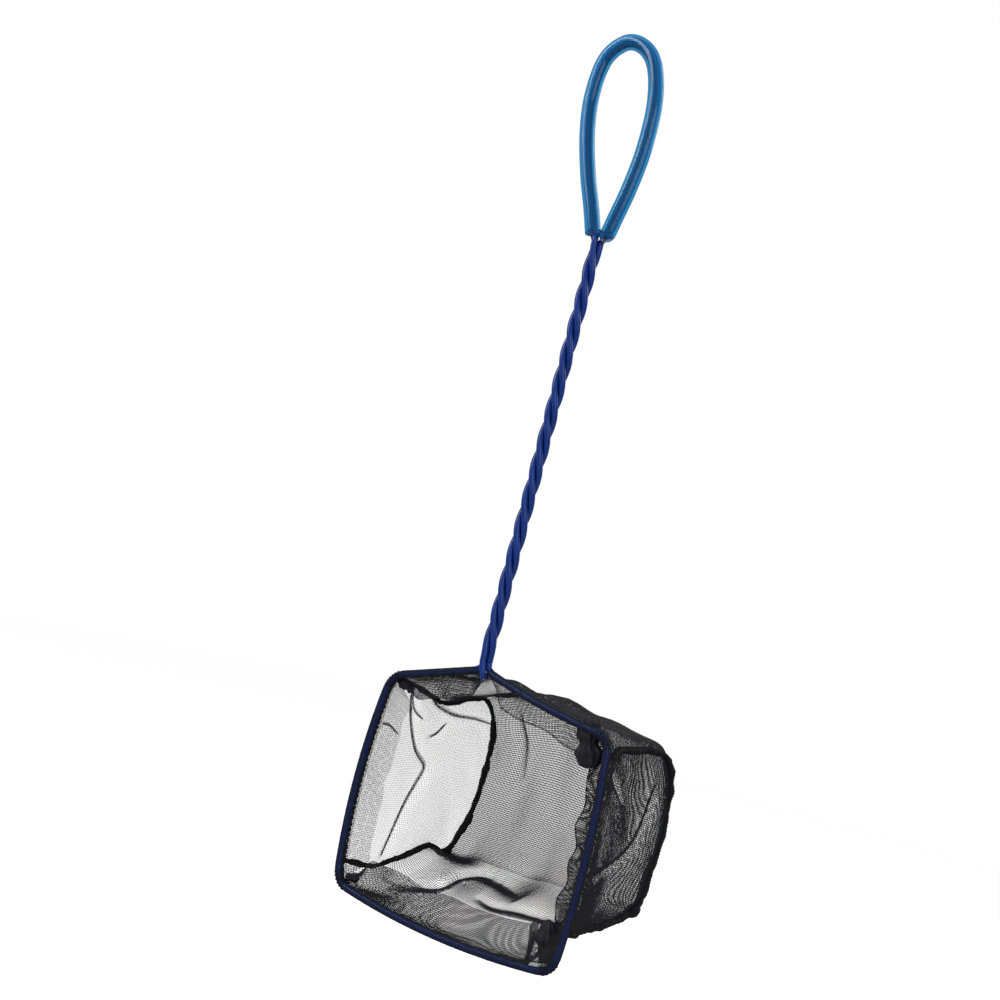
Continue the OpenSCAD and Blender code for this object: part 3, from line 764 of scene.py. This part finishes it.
# Camera and stage
# The camera's right, up and back, and its place, as fitted to the photograph
CAMERA_AXES = ((0.77283, 0.59096, 0.23129), (-0.11998, -0.22181, 0.96768), (0.62317, -0.77560, -0.10052))
CAMERA_PLACE = (0.395036, -0.504515, -0.287891)
SENSOR_WIDTH, FOCAL_LENGTH = 36, 50.4
FLOOR_HALF, FLOOR_LEVEL, FLOOR_GLOW = 6, -0.72, 0.66
# Strength of the white surroundings as light, and as what the camera sees
AMBIENT, BACKDROP = 0.55, 1.0
AIM = Vector((0, 0, -0.22))
# Each light's name, place, size and power
LIGHTS = (
    ("key light", (-0.9, -1.2, 0.9), 0.9, 22.0), ("fill light", (1.3, -0.7, 0.2), 1.0, 9.0),
    ("rim light", (0.3, 1.3, 0.8), 0.9, 10.0))


def seen_directly(tree):
    """1 for rays from the camera, straight or through clear walls, and 0 for the rest."""
    path, seen = add(tree, "LightPath"), add(tree, "Math", operation="MAXIMUM")
    connect(tree, (path, "Is Camera Ray", seen, 0), (path, "Is Transmission Ray", seen, 1))
    return seen


class FISHNET_OT_camera(Operator):
    """Places the camera where the photograph was taken from"""
    bl_idname = "fishnet.camera"
    bl_label = "Camera"

    def execute(self, context):
        lens = bpy.data.cameras.new("camera")
        lens.sensor_width = SENSOR_WIDTH
        lens.lens = FOCAL_LENGTH
        lens.clip_start = 0.01
        camera = new_object("camera", lens)
        camera.matrix_world = axes_at(*CAMERA_AXES, CAMERA_PLACE)
        context.scene.camera = camera
        return {"FINISHED"}


class FISHNET_OT_stage(Operator):
    """Lays the pale floor and sets the soft lights and the white surroundings"""
    bl_idname = "fishnet.stage"
    bl_label = "Stage"

    def execute(self, context):
        scene = context.scene
        scene.view_settings.view_transform = "Standard"
        bm = bmesh.new()
        bmesh.ops.create_grid(bm, x_segments=2, y_segments=2, size=FLOOR_HALF)
        bmesh.ops.translate(bm, vec=(0, 0, FLOOR_LEVEL), verts=bm.verts[:])
        mesh = mesh_of("floor", bm)
        floor = new_object("floor", mesh)
        material, tree, shader = node_tree_of("pale floor")
        shader.inputs["Base Color"].default_value = (0.6, 0.6, 0.6, 1)
        shader.inputs["Roughness"].default_value = 1
        shader.inputs["Specular IOR Level"].default_value = 0
        glow, total = add(tree, "Emission", Color=(1, 1, 1, 1)), add(tree, "AddShader")
        strength = add(tree, "Math", operation="MULTIPLY")
        strength.inputs[1].default_value = FLOOR_GLOW
        connect(
            tree, (seen_directly(tree), 0, strength, 0), (strength, 0, glow, "Strength"),
            (shader, 0, total, 0), (glow, 0, total, 1), (total, 0, tree.nodes["Material Output"], "Surface"))
        mesh.materials.append(material)

        world = bpy.data.worlds.new("surroundings")
        scene.world = world
        world.use_nodes = True
        tree = world.node_tree
        level, white = add(tree, "MapRange", To_Min=AMBIENT, To_Max=BACKDROP), tree.nodes["Background"]
        connect(tree, (seen_directly(tree), 0, level, "Value"), (level, "Result", white, "Strength"))
        white.inputs["Color"].default_value = (1, 1, 1, 1)

        for name, place, size, power in LIGHTS:
            lamp = bpy.data.lights.new(name, "AREA")
            lamp.energy = power
            lamp.size = size
            lit = new_object(name, lamp)
            turn = (Vector(place) - AIM).to_track_quat("Z", "Y").to_matrix().to_4x4()
            lit.matrix_world = Matrix.Translation(place) @ turn
        return {"FINISHED"}


# The wire and its sleeve. The sleeve's right end is cut askew: the cut's long side faces this way, and what
# lies this near to the end's plane is part of it.
CUT_SIDE = Vector((0.6, -0.8, 0))
CUT_DEPTH = 0.0002
CORE_CLEARANCE = 0.00004
CORE_SIDES, COATING_SIDES, SLEEVE_SIDES = 12, 20, 32


class FISHNET_OT_wire(Operator):
    """Sweeps the steel core and its vinyl coating along the hoop, the three strands and the loop"""
    bl_idname = "fishnet.wire"
    bl_label = "Wire"

    def execute(self, context):
        s = net_shape(context)
        core, coat = steel_material(s.colours), coating_material(s.colours)
        runs = {"hoop": (s.hoop_path, -UP, UP), "loop": (s.loop, UP, -UP)}
        runs.update({f"strand_{k}": (p, UP, UP) for k, p in s.strands.items()})
        for name, (path, first, last) in runs.items():
            bm = outward(sweep(bmesh.new(), path, s.wire.core, CORE_SIDES, first=first, last=last))
            finish_piece(f"{name}_wire_round", bm, core, [f"{name}_wire"])
            bore = s.wire.core + CORE_CLEARANCE
            bm = tube(bmesh.new(), path, s.wire.diameter, bore, COATING_SIDES)
            finish_piece(f"{name}_coating_round", bm, coat, [f"{name}_coating"])
        return {"FINISHED"}


class FISHNET_OT_sleeve(Operator):
    """Sweeps the clear grip sleeve round the loop"""
    bl_idname = "fishnet.sleeve"
    bl_label = "Grip sleeve"

    def execute(self, context):
        s = net_shape(context)
        bm = tube(bmesh.new(), s.sleeve, s.wire.sleeve_od, s.wire.sleeve_id, SLEEVE_SIDES)
        end, before = Vector(s.sleeve[-1]), Vector(s.sleeve[-2])
        head = (end - before).normalized()
        for v in bm.verts:
            away = v.co - end
            if abs(away.dot(head)) < CUT_DEPTH and away.length < s.wire.sleeve_od:
                v.co += head * (s.wire.cut_slant * max(0.0, away.dot(CUT_SIDE)))
        finish_piece("clear_grip_sleeve", bm, sleeve_material(s.colours), ["grip_sleeve"])
        return {"FINISHED"}


# The netting. A crease's points are shares of its panel: of the strip's width and then of its run, or of a
# gusset's depth and then of its height. Its width, its rise and its pull on the threads follow.
Crease = namedtuple("Crease", "points width rise pull")
LEFT_CREASES = (
    Crease([
        (0.22, 0.03), (0.26, 0.12), (0.32, 0.23), (0.41, 0.37), (0.515, 0.475), (0.48, 0.575), (0.43, 0.67),
        (0.38, 0.78), (0.31, 0.95)], 0.0019, 0.003, 0.8),
    Crease([(0.45, 0.03), (0.55, 0.08), (0.67, 0.15), (0.79, 0.19), (0.985, 0.23)], 0.0017, 0.003, 0.8),
    Crease([(0.24, 0.05), (0.31, 0.14), (0.39, 0.18)], 0.0013, 0.0025, 0.8),
    Crease([(0.48, 0.285), (0.53, 0.27), (0.56, 0.245), (0.59, 0.2)], 0.0013, 0.0016, 0.7),
    Crease([(0.02, 0.26), (0.11, 0.265), (0.2, 0.3)], 0.0011, 0.0014, 0.7))
RIGHT_CREASES = (
    Crease([
        (0.77, 0.256), (0.75, 0.33), (0.71, 0.456), (0.66, 0.562), (0.525, 0.638), (0.31, 0.688),
        (0.08, 0.72)], 0.0022, 0.0018, 0.8),
    Crease([(0.1, 0.12), (0.22, 0.21), (0.34, 0.3)], 0.001, 0.0018, 0.75))
STRIP_CREASES = (
    Crease([(0.14, 0.46), (0.155, 0.5), (0.18, 0.54), (0.195, 0.6)], 0.002, 0.001, 0.35),
    Crease([
        (0.05, 0.935), (0.16, 0.915), (0.235, 0.893), (0.235, 0.857), (0.27, 0.833), (0.355, 0.833),
        (0.45, 0.84), (0.52, 0.847)], 0.0024, 0.0022, 0.75),
    Crease([(0.41, 0.88), (0.48, 0.88), (0.56, 0.873), (0.66, 0.866), (0.78, 0.862)], 0.0015, 0.0016, 0.7))
# A strip crease with a pull from here on is folded over, and a softer one isn't
FOLDED_PULL = 0.6
# Each panel of the strip: its node, where it starts and ends, its thread and whether its threads are closed
PANELS = (
    ("net_top_panel", 0, TOP_BACK, "top_thread", False),
    ("net_back_panel", TOP_BACK, BACK_FLOOR, "back_thread", True),
    ("net_bottom_panel", BACK_FLOOR, 1, "floor_thread", True))
# The left gusset's thread is thinned so that it renders lighter: a painted light for the strong light on that
# side
GUSSETS = (
    ("net_left_gusset", "left_gusset", "left_thread", LEFT_CREASES, False),
    ("net_right_gusset", "right_gusset", "right_thread", RIGHT_CREASES, True))
STRIP_SEED, GUSSET_SEED = 7, 5
RUN_POINTS = 600


class FISHNET_OT_netting(Operator):
    """Nets the strip's three panels and the two gussets, thread by thread"""
    bl_idname = "fishnet.netting"
    bl_label = "Netting"

    def execute(self, context):
        s = net_shape(context)
        b = s.bag
        material = netting_material(s.colours)
        u = np.linspace(0, 1, RUN_POINTS)
        run = lengths((through(s.left_points, u) + through(s.right_points, u)) / 2)
        width = float(np.linalg.norm(s.front_top[-1] - s.front_top[0]))
        across = thread_places(width, b.pitch)
        for node, low, high, thread, closed in PANELS:
            start, end = np.interp([low, high], u, run)
            rows = np.interp(lerp(start, end, thread_places(end - start, b.pitch)), run, u)
            bm = netting(
                s.strip, across, rows, (width, run[-1]), [(len(rows), getattr(b, thread))], STRIP_CREASES,
                b.ripple, STRIP_SEED, closed)
            for crease in STRIP_CREASES:
                if low < crease.points[1][1] < high and crease.pull >= FOLDED_PULL:
                    tuck(bm, s.strip, (width, run[-1]), crease, b.tuck_thread)
            piece = finish_piece(node + "_threads", bm, material, [node])
        for node, surface, thread, creases, closed in GUSSETS:
            at = getattr(s, surface)
            depth, height, area = cut_size(at)
            rows = thread_places(height, b.pitch)
            bm = netting(
                at, thread_places(depth, b.pitch), rows, (depth, height), [(len(rows), getattr(b, thread))],
                creases, b.ripple, GUSSET_SEED, closed)
            for crease in creases:
                tuck(bm, at, (depth, height), crease, b.tuck_thread)
            piece = finish_piece(node + "_threads", bm, material, [node])
        return {"FINISHED"}


# The hems. thread is the free edge's, lean its angle to the bag's depth and sway its waves in degrees, rolled
# the further rows of its rolled edge, tall its height beside the others', and closed is as in netting.
Hem = namedtuple("Hem", "node side thread lean sway rolled tall closed")
HEMS = (
    Hem("hem_top_left", TOP_LEFT, 0.00046, 75.0, 12.0, 0, 1.0, True),
    Hem("hem_left", LEFT, 0.00017, 48.0, 12.0, 0, 1.0, False),
    Hem("hem_bottom", BOTTOM, 0.00038, 78.0, 6.0, 0, 1.42, True),
    Hem("hem_right", RIGHT, 0.00044, 68.0, 5.0, 1, 1.15, True),
    Hem("hem_top_right", TOP_RIGHT, 0.00021, 80.0, 6.0, 3, 1.0, True))
HEM_SEED = 20
HEM_STEP = 0.0008
# Points of a corner, of which a hem has half, or fewer at the gathers and more at the upper left
CORNER_POINTS, CORNER_HALF = 17, 8
FIRST_KEPT = {TOP_LEFT: 10, TOP_RIGHT: 6}
LAST_KEPT = {TOP_RIGHT: 7}
# Distance of the hem's ends in which its free edge grows to its height, and how much of it the ends have
END_REACH, END_SHARE = 0.011, 0.35
# Spacing of the rolled edge's rows, in shares of the hem
ROLL_STEP = 0.009
# How much closer the rows round the wire are than a panel's
FOLD_DENSITY = 1.8
CLOTH_GAP, WIRE_GAP = 0.00012, 0.00016
# The free edge's waves: how many, their shortest and longest, the weakest, and the range of their phases
WAVE_COUNT, SHORTEST_WAVE, LONGEST_WAVE, WEAKEST_WAVE, TURN = 5, 0.012, 0.05, 0.3, 6.28
# The free edge's least angle in degrees, how uneven its height is and how much of its angle its foot has
LEAST_ANGLE, UNEVEN_HEIGHT, FOOT_ANGLE = 8, 0.07, 0.75


def hem_line(s, side):
    """The wire under a hem, which runs to the middle of the corners at its ends, evenly spaced."""
    before, after = s.corner(side, CORNER_POINTS), s.corner(side + 1, CORNER_POINTS)
    before = before[FIRST_KEPT.get(side, CORNER_HALF):]
    after = after[:LAST_KEPT.get(side, CORNER_HALF + 1)]
    return evenly(np.vstack([before, s.side(side)[1:-1], after]), HEM_STEP)


def hem_fold(s):
    """The hem's profile round the wire, from its stitch line to the panel, as depth and inward distance."""
    r, line = s.wire.diameter / 2 + WIRE_GAP, s.sewing.stitch_line
    touch = math.acos(r / line)
    a = np.linspace(touch, 2 * np.pi - touch, 40)
    points = np.vstack([
        [[line, CLOTH_GAP]], np.stack([r * np.cos(a), r * np.sin(a)], -1), [[line, -CLOTH_GAP]],
        [[s.bag.front_gap, -CLOTH_GAP / 2]]])
    return points, lengths(points)


def hem_surface(s, hem, line, seed):
    """A hem from its free edge round the wire to the panel's front edge: its surface, and the length of the
    free edge and of the whole."""
    fold, fold_run = hem_fold(s)
    flap = s.sewing.flap * hem.tall
    whole = flap + fold_run[-1]
    total = lengths(line)[-1]
    deep, inward, drawn = s.deep(line)
    rng = np.random.default_rng(seed)
    waves = [
        (rng.uniform(SHORTEST_WAVE, LONGEST_WAVE), rng.uniform(0, TURN), rng.uniform(WEAKEST_WAVE, 1))
        for _ in range(WAVE_COUNT)]
    ends = smooth(from_ends(len(line)) * HEM_STEP / END_REACH)

    def at(share, down):
        share, down = np.ravel(share), np.ravel(down)
        index = np.clip(share, 0, 1) * (len(line) - 1)
        k = np.minimum(index.astype(int), len(line) - 2)
        f = (index - k)[:, None]
        centre, side_in = lerp(line[k], line[k + 1], f), lerp(inward[k], inward[k + 1], f)
        back, turned = lerp(deep[k], deep[k + 1], f), np.degrees(drawn[k])
        run = down * whole
        wave = sum(c * np.sin(2 * np.pi * share * total / w + p) for w, p, c in waves) / 3
        angle = np.radians(np.maximum(hem.lean + hem.sway * wave - turned, LEAST_ANGLE))
        near = lerp(ends[k], ends[k + 1], f[:, 0])
        free = (flap * (1 + UNEVEN_HEIGHT * np.roll(wave, 3)) - run) / flap
        out = np.clip(free, 0, 2) * flap * lerp(END_SHARE, 1, near)
        bent = angle * (FOOT_ANGLE + (1 - FOOT_ANGLE) * out / flap)
        loose_y = s.sewing.stitch_line + out * np.cos(bent)
        loose_in = fold[0, 1] + out * np.sin(bent)
        y = np.where(run < flap, loose_y, np.interp(run - flap, fold_run, fold[:, 0]))
        w = np.where(run < flap, loose_in, np.interp(run - flap, fold_run, fold[:, 1]))
        return centre + y[:, None] * back + w[:, None] * side_in

    return at, flap, whole


class FISHNET_OT_hems(Operator):
    """Folds a hem of netting round each side of the hoop, with its free edge inside and its stitches"""
    bl_idname = "fishnet.hems"
    bl_label = "Hems"

    def execute(self, context):
        s = net_shape(context)
        sew = s.sewing
        cloth, thread = netting_material(s.colours), stitching_material(s.colours)
        for number, hem in enumerate(HEMS):
            line = hem_line(s, hem.side)
            total = lengths(line)[-1]
            at, flap, whole = hem_surface(s, hem, line, HEM_SEED + number)
            free_rows = np.linspace(0, flap / whole, round(flap / sew.hem_pitch) + 1)
            free_rows = np.concatenate([[0], ROLL_STEP * np.arange(1, hem.rolled + 1), free_rows[1:]])
            fold_count = round((whole - flap) / s.bag.pitch * FOLD_DENSITY)
            fold_rows = np.linspace(flap / whole, 1, fold_count + 1)[1:]
            rows = np.concatenate([free_rows, fold_rows])
            bm = netting(
                at, thread_places(total, sew.hem_pitch), rows, (total, whole),
                [(len(free_rows) - 1, hem.thread), (len(rows), sew.wrap_thread)], seed=number,
                closed=hem.closed)
            piece = finish_piece(hem.node + "_cloth", bm, cloth, [hem.node])
            sewn = finish_piece(hem.node + "_stitches", running_stitches(line, s), thread)
        return {"FINISHED"}


# A running stitch's form: places in shares of half its length, each with its thickness, and how far its
# thread stands off the cloth in shares of half its thickness
STITCH_FORM = ((-1, 0.25), (-0.55, 1), (0, 1.1), (0.55, 1), (1, 0.25))
STITCH_STANDS = 0.8


def running_stitches(line, s):
    """Dashes of thread along a hem's stitch line, on both of its faces."""
    sew = s.sewing
    deep, inward, _ = s.deep(line)
    bm, one = bmesh.new(), bmesh.new()
    half, r = sew.stitch / 2, sew.stitch_thread / 2
    dash = np.array([[0, 0, half * share] for share, _ in STITCH_FORM])
    sweep(one, dash, sew.stitch_thread, 6, sizes=[size for _, size in STITCH_FORM], level=(1, 0, 0))
    mesh = mesh_of("stitch", one)
    step = sew.stitch + sew.stitch_gap
    total = lengths(line)[-1]
    for run in np.arange(step, total - step, step):
        k = min(int(run / total * (len(line) - 1)), len(line) - 2)
        head = Vector(line[k + 1] - line[k]).normalized()
        side_in = Vector(inward[k]).normalized()
        middle = Vector(line[k] + deep[k] * sew.stitch_line)
        for face in (1, -1):
            place = middle + side_in * face * (r * STITCH_STANDS + CLOTH_GAP)
            before = len(bm.verts)
            bm.from_mesh(mesh)
            bm.verts.ensure_lookup_table()
            m = axes_at(side_in, head.cross(side_in), head, place)
            bmesh.ops.transform(bm, matrix=m, verts=bm.verts[before:])
    bpy.data.meshes.remove(mesh)
    return bm


# The seams: each one's node, its points and its width beside the panel's size
SEAMS = (("seam_left", "left_points", 1.0), ("seam_right", "right_points", 1.25))
SEAM_SEED = 40
SEAM_STEP = 0.0011
# X of the seam's oval section
SEAM_LEVEL = (0.78, 0.62, 0)
# How far the seam wanders and the share of that each way, how lumpy it is and between what sizes
WANDER, WANDER_SHARES = 0.0007, np.array([1, 0.6, 1])
LUMPS, THINNEST, THICKEST = 0.34, 0.72, 1.5
KNOT_SIZE, KNOT_LENGTH = 0.9, 0.003
# Distance from the wire's surface at which a seam ends, its size there, and the steps in which it grows
SEAM_END_GAP, END_SIZE, END_STEPS = 0.0008, 0.6, 6
# The winding's width and height beside the binding's, and the points in each of its turns
WOUND_WIDTH, WOUND_HEIGHT, WOUND_POINTS = 1.04, 1.08, 10


def slow_noise(rng, count, span):
    """Random values, each the mean of a span of them."""
    return np.convolve(rng.normal(0, 1, count + 2 * span - 2), np.ones(span) / span, "valid")[:count]


class FISHNET_OT_seams(Operator):
    """Runs a bound seam down each side of the bag, with its thread wound round it"""
    bl_idname = "fishnet.seams"
    bl_label = "Seams"

    def execute(self, context):
        s = net_shape(context)
        sew = s.sewing
        material = stitching_material(s.colours)
        front = -BACK * (s.bag.front_gap - s.wire.diameter / 2 - SEAM_END_GAP)
        for number, (node, points, wide) in enumerate(SEAMS):
            points = getattr(s, points)
            path = through(points, np.linspace(0, 1, 300)) - s.hang
            knot = through(points, BACK_FLOOR)[0] - s.hang
            path = evenly(np.vstack([path[:1] + front, path, path[-1:] + front]), SEAM_STEP)
            rng = np.random.default_rng(SEAM_SEED + number)
            lumps = slow_noise(rng, len(path), 5)
            wander = np.stack([slow_noise(rng, len(path), 9) for _ in range(3)], -1)
            path = path + wander * WANDER * WANDER_SHARES
            sizes = np.clip(1 + LUMPS * lumps, THINNEST, THICKEST) * wide
            sizes = sizes + KNOT_SIZE * np.exp(-(np.linalg.norm(path - knot, axis=1) / KNOT_LENGTH) ** 2)
            sizes = sizes * lerp(END_SIZE, 1, smooth(from_ends(len(path)) / END_STEPS))
            bm = sweep(
                bmesh.new(), path, sew.seam_width, 12, sew.seam_thickness, level=SEAM_LEVEL, sizes=sizes)
            finish_piece(node + "_binding", outward(bm), material, [node])
            frames = path_frames(path, SEAM_LEVEL)
            turns = lengths(path)[-1] / sew.bind_pitch
            wound = []
            for t in np.linspace(0, 1, int(turns * WOUND_POINTS)):
                index = t * (len(path) - 1)
                k = min(int(index), len(path) - 2)
                m = frames[k].lerp(frames[k + 1], index - k)
                a = 2 * np.pi * turns * t
                size = lerp(sizes[k], sizes[k + 1], index - k)
                wound.append(m @ Vector((
                    math.cos(a) * sew.seam_width / 2 * size * WOUND_WIDTH,
                    math.sin(a) * sew.seam_thickness / 2 * size * WOUND_HEIGHT, 0)))
            bm = sweep(bmesh.new(), np.array(wound), sew.bind_thread, 5, level=(0, 0, 1))
            finish_piece(node + "_thread", outward(bm), material)
        return {"FINISHED"}


# Bunched netting at the corners. start and end are the bunch's ends from the middle of its corner.
Bunch = namedtuple("Bunch", "name corner start end thickness pleats")
BUNCHES = (
    Bunch("bunch_upper_right", UPPER_RIGHT, (-0.0118, 0.003, 0.0065), (-0.0082, 0.005, -0.012), 0.0122, 9),
    Bunch("bunch_lower_right", LOWER_RIGHT, (-0.0085, 0.005, 0.0165), (-0.0065, 0.005, 0.001), 0.0088, 7),
    Bunch("bunch_upper_left", UPPER_LEFT, (0.001, 0.003, 0.0), (0.0075, 0.006, -0.0035), 0.0045, 6),
    Bunch("bunch_lower_left", LOWER_LEFT, (0.001, 0.003, 0.0015), (0.006, 0.006, 0.002), 0.0042, 6))
BUNCH_SEED = 60
# A bunch's form: how blunt its ends are, the depths of its two sets of pleats and how many more the second
# has, its mean size and the depths of its two sets of swellings, and how flat it is
BLUNTNESS, PLEAT_DEPTH, FINE_DEPTH, FINE_PLEATS = 0.7, 0.16, 0.1, 5
MEAN_SIZE, SWELLING, FINE_SWELLING, FLATNESS = 0.86, 0.2, 0.1, 0.8
# Its length beside the distance of its ends, and how much of that lies before its start
OVERALL, BEFORE_START = 1.15, 0.08
# The whipping: its clearance, the spacing of its path's points, the points that its ends stop short of the
# corner's, and the points in each turn
TACK_CLEARANCE, TACK_STEP, TACK_SHORT, TACK_POINTS = 0.0003, 0.0003, 5, 14


def pleated(s, bunch, seed):
    """A bunch: a ball drawn out between the bunch's ends, with pleats along it."""
    middle = s.corner(bunch.corner, 3)[1]
    rng = np.random.default_rng(seed)
    bm = bmesh.new()
    bmesh.ops.create_uvsphere(bm, u_segments=56, v_segments=40, radius=1)
    start, end = middle + np.array(bunch.start), middle + np.array(bunch.end)
    placed = path_frames(np.array([start, end]), (0, 1, 0))[0]
    reach = float(np.linalg.norm(end - start))
    phases = rng.uniform(0, TURN, 6)
    for v in bm.verts:
        height = (v.co.z + 1) / 2
        angle = math.atan2(v.co.y, v.co.x)
        taper = math.hypot(v.co.x, v.co.y) ** BLUNTNESS
        fine = FINE_DEPTH * math.sin((bunch.pleats + FINE_PLEATS) * angle + phases[1] - 7 * height)
        pleat = 1 + PLEAT_DEPTH * math.sin(bunch.pleats * angle + phases[0] + 3 * height) + fine
        swelling = SWELLING * math.sin(9 * height + phases[2])
        swelling = MEAN_SIZE + swelling + FINE_SWELLING * math.sin(21 * height + phases[3])
        size = bunch.thickness / 2 * taper * pleat * swelling
        v.co = placed @ Vector((
            math.cos(angle) * size * FLATNESS, math.sin(angle) * size,
            (height * OVERALL - BEFORE_START) * reach))
    return outward(bm)


class FISHNET_OT_tacks(Operator):
    """Whips each corner of the hoop with thread, over the bunched ends of the netting"""
    bl_idname = "fishnet.tacks"
    bl_label = "Corner tacks"

    def execute(self, context):
        s = net_shape(context)
        sew = s.sewing
        r = s.wire.diameter / 2 + TACK_CLEARANCE + sew.tack_thread / 2
        bm = bmesh.new()
        for corner in (UPPER_LEFT, LOWER_LEFT, LOWER_RIGHT, UPPER_RIGHT):
            path = evenly(s.corner(corner, 33)[TACK_SHORT:-TACK_SHORT], TACK_STEP)
            frames = path_frames(path, (0, 1, 0))
            turns = lengths(path)[-1] / sew.tack_pitch
            wound = []
            for t in np.linspace(0, 1, int(turns * TACK_POINTS)):
                m = frames[min(int(t * (len(path) - 1)), len(path) - 1)]
                a = 2 * np.pi * turns * t
                wound.append(m @ Vector((math.cos(a) * r, math.sin(a) * r, 0)))
            sweep(bm, np.array(wound), sew.tack_thread, 6, level=(0, 0, 1))
        thread, cloth = stitching_material(s.colours), netting_material(s.colours)
        finish_piece("corner_tack_threads", outward(bm), thread, ["corner_tacks"])
        for number, bunch in enumerate(BUNCHES):
            finish_piece(bunch.name, pleated(s, bunch, BUNCH_SEED + number), cloth)
        return {"FINISHED"}


class FISHNET_PT_panel(Panel):
    """Lists the fish net's operators and sizes"""
    bl_idname = "FISHNET_PT_panel"
    bl_label = "Fish net"
    bl_space_type = "VIEW_3D"
    bl_region_type = "UI"
    bl_category = "Fish net"

    def draw(self, context):
        for operator in OPERATORS:
            self.layout.operator(operator.bl_idname)
        for name, group in GROUPS.items():
            box = self.layout.box()
            for key in group.__annotations__:
                box.prop(getattr(context.scene, name), key)


GROUPS = {
    "fish_net_wire": FishNetWire, "fish_net_hoop": FishNetHoop, "fish_net_bag": FishNetBag,
    "fish_net_sewing": FishNetSewing, "fish_net_finish": FishNetFinish}
OPERATORS = (
    FISHNET_OT_camera, FISHNET_OT_stage, FISHNET_OT_wire, FISHNET_OT_sleeve, FISHNET_OT_netting,
    FISHNET_OT_hems, FISHNET_OT_seams, FISHNET_OT_tacks)


def register():
    for kind in (*GROUPS.values(), *OPERATORS, FISHNET_PT_panel):
        bpy.utils.register_class(kind)
    for name, group in GROUPS.items():
        setattr(bpy.types.Scene, name, PointerProperty(type=group))


def unregister():
    for name in GROUPS:
        delattr(bpy.types.Scene, name)
    for kind in reversed((*GROUPS.values(), *OPERATORS, FISHNET_PT_panel)):
        bpy.utils.unregister_class(kind)


def main():
    register()
    for operator in OPERATORS:
        name = operator.bl_idname.split(".")[1]
        getattr(bpy.ops.fishnet, name)()


if __name__ == "__main__":
    main()
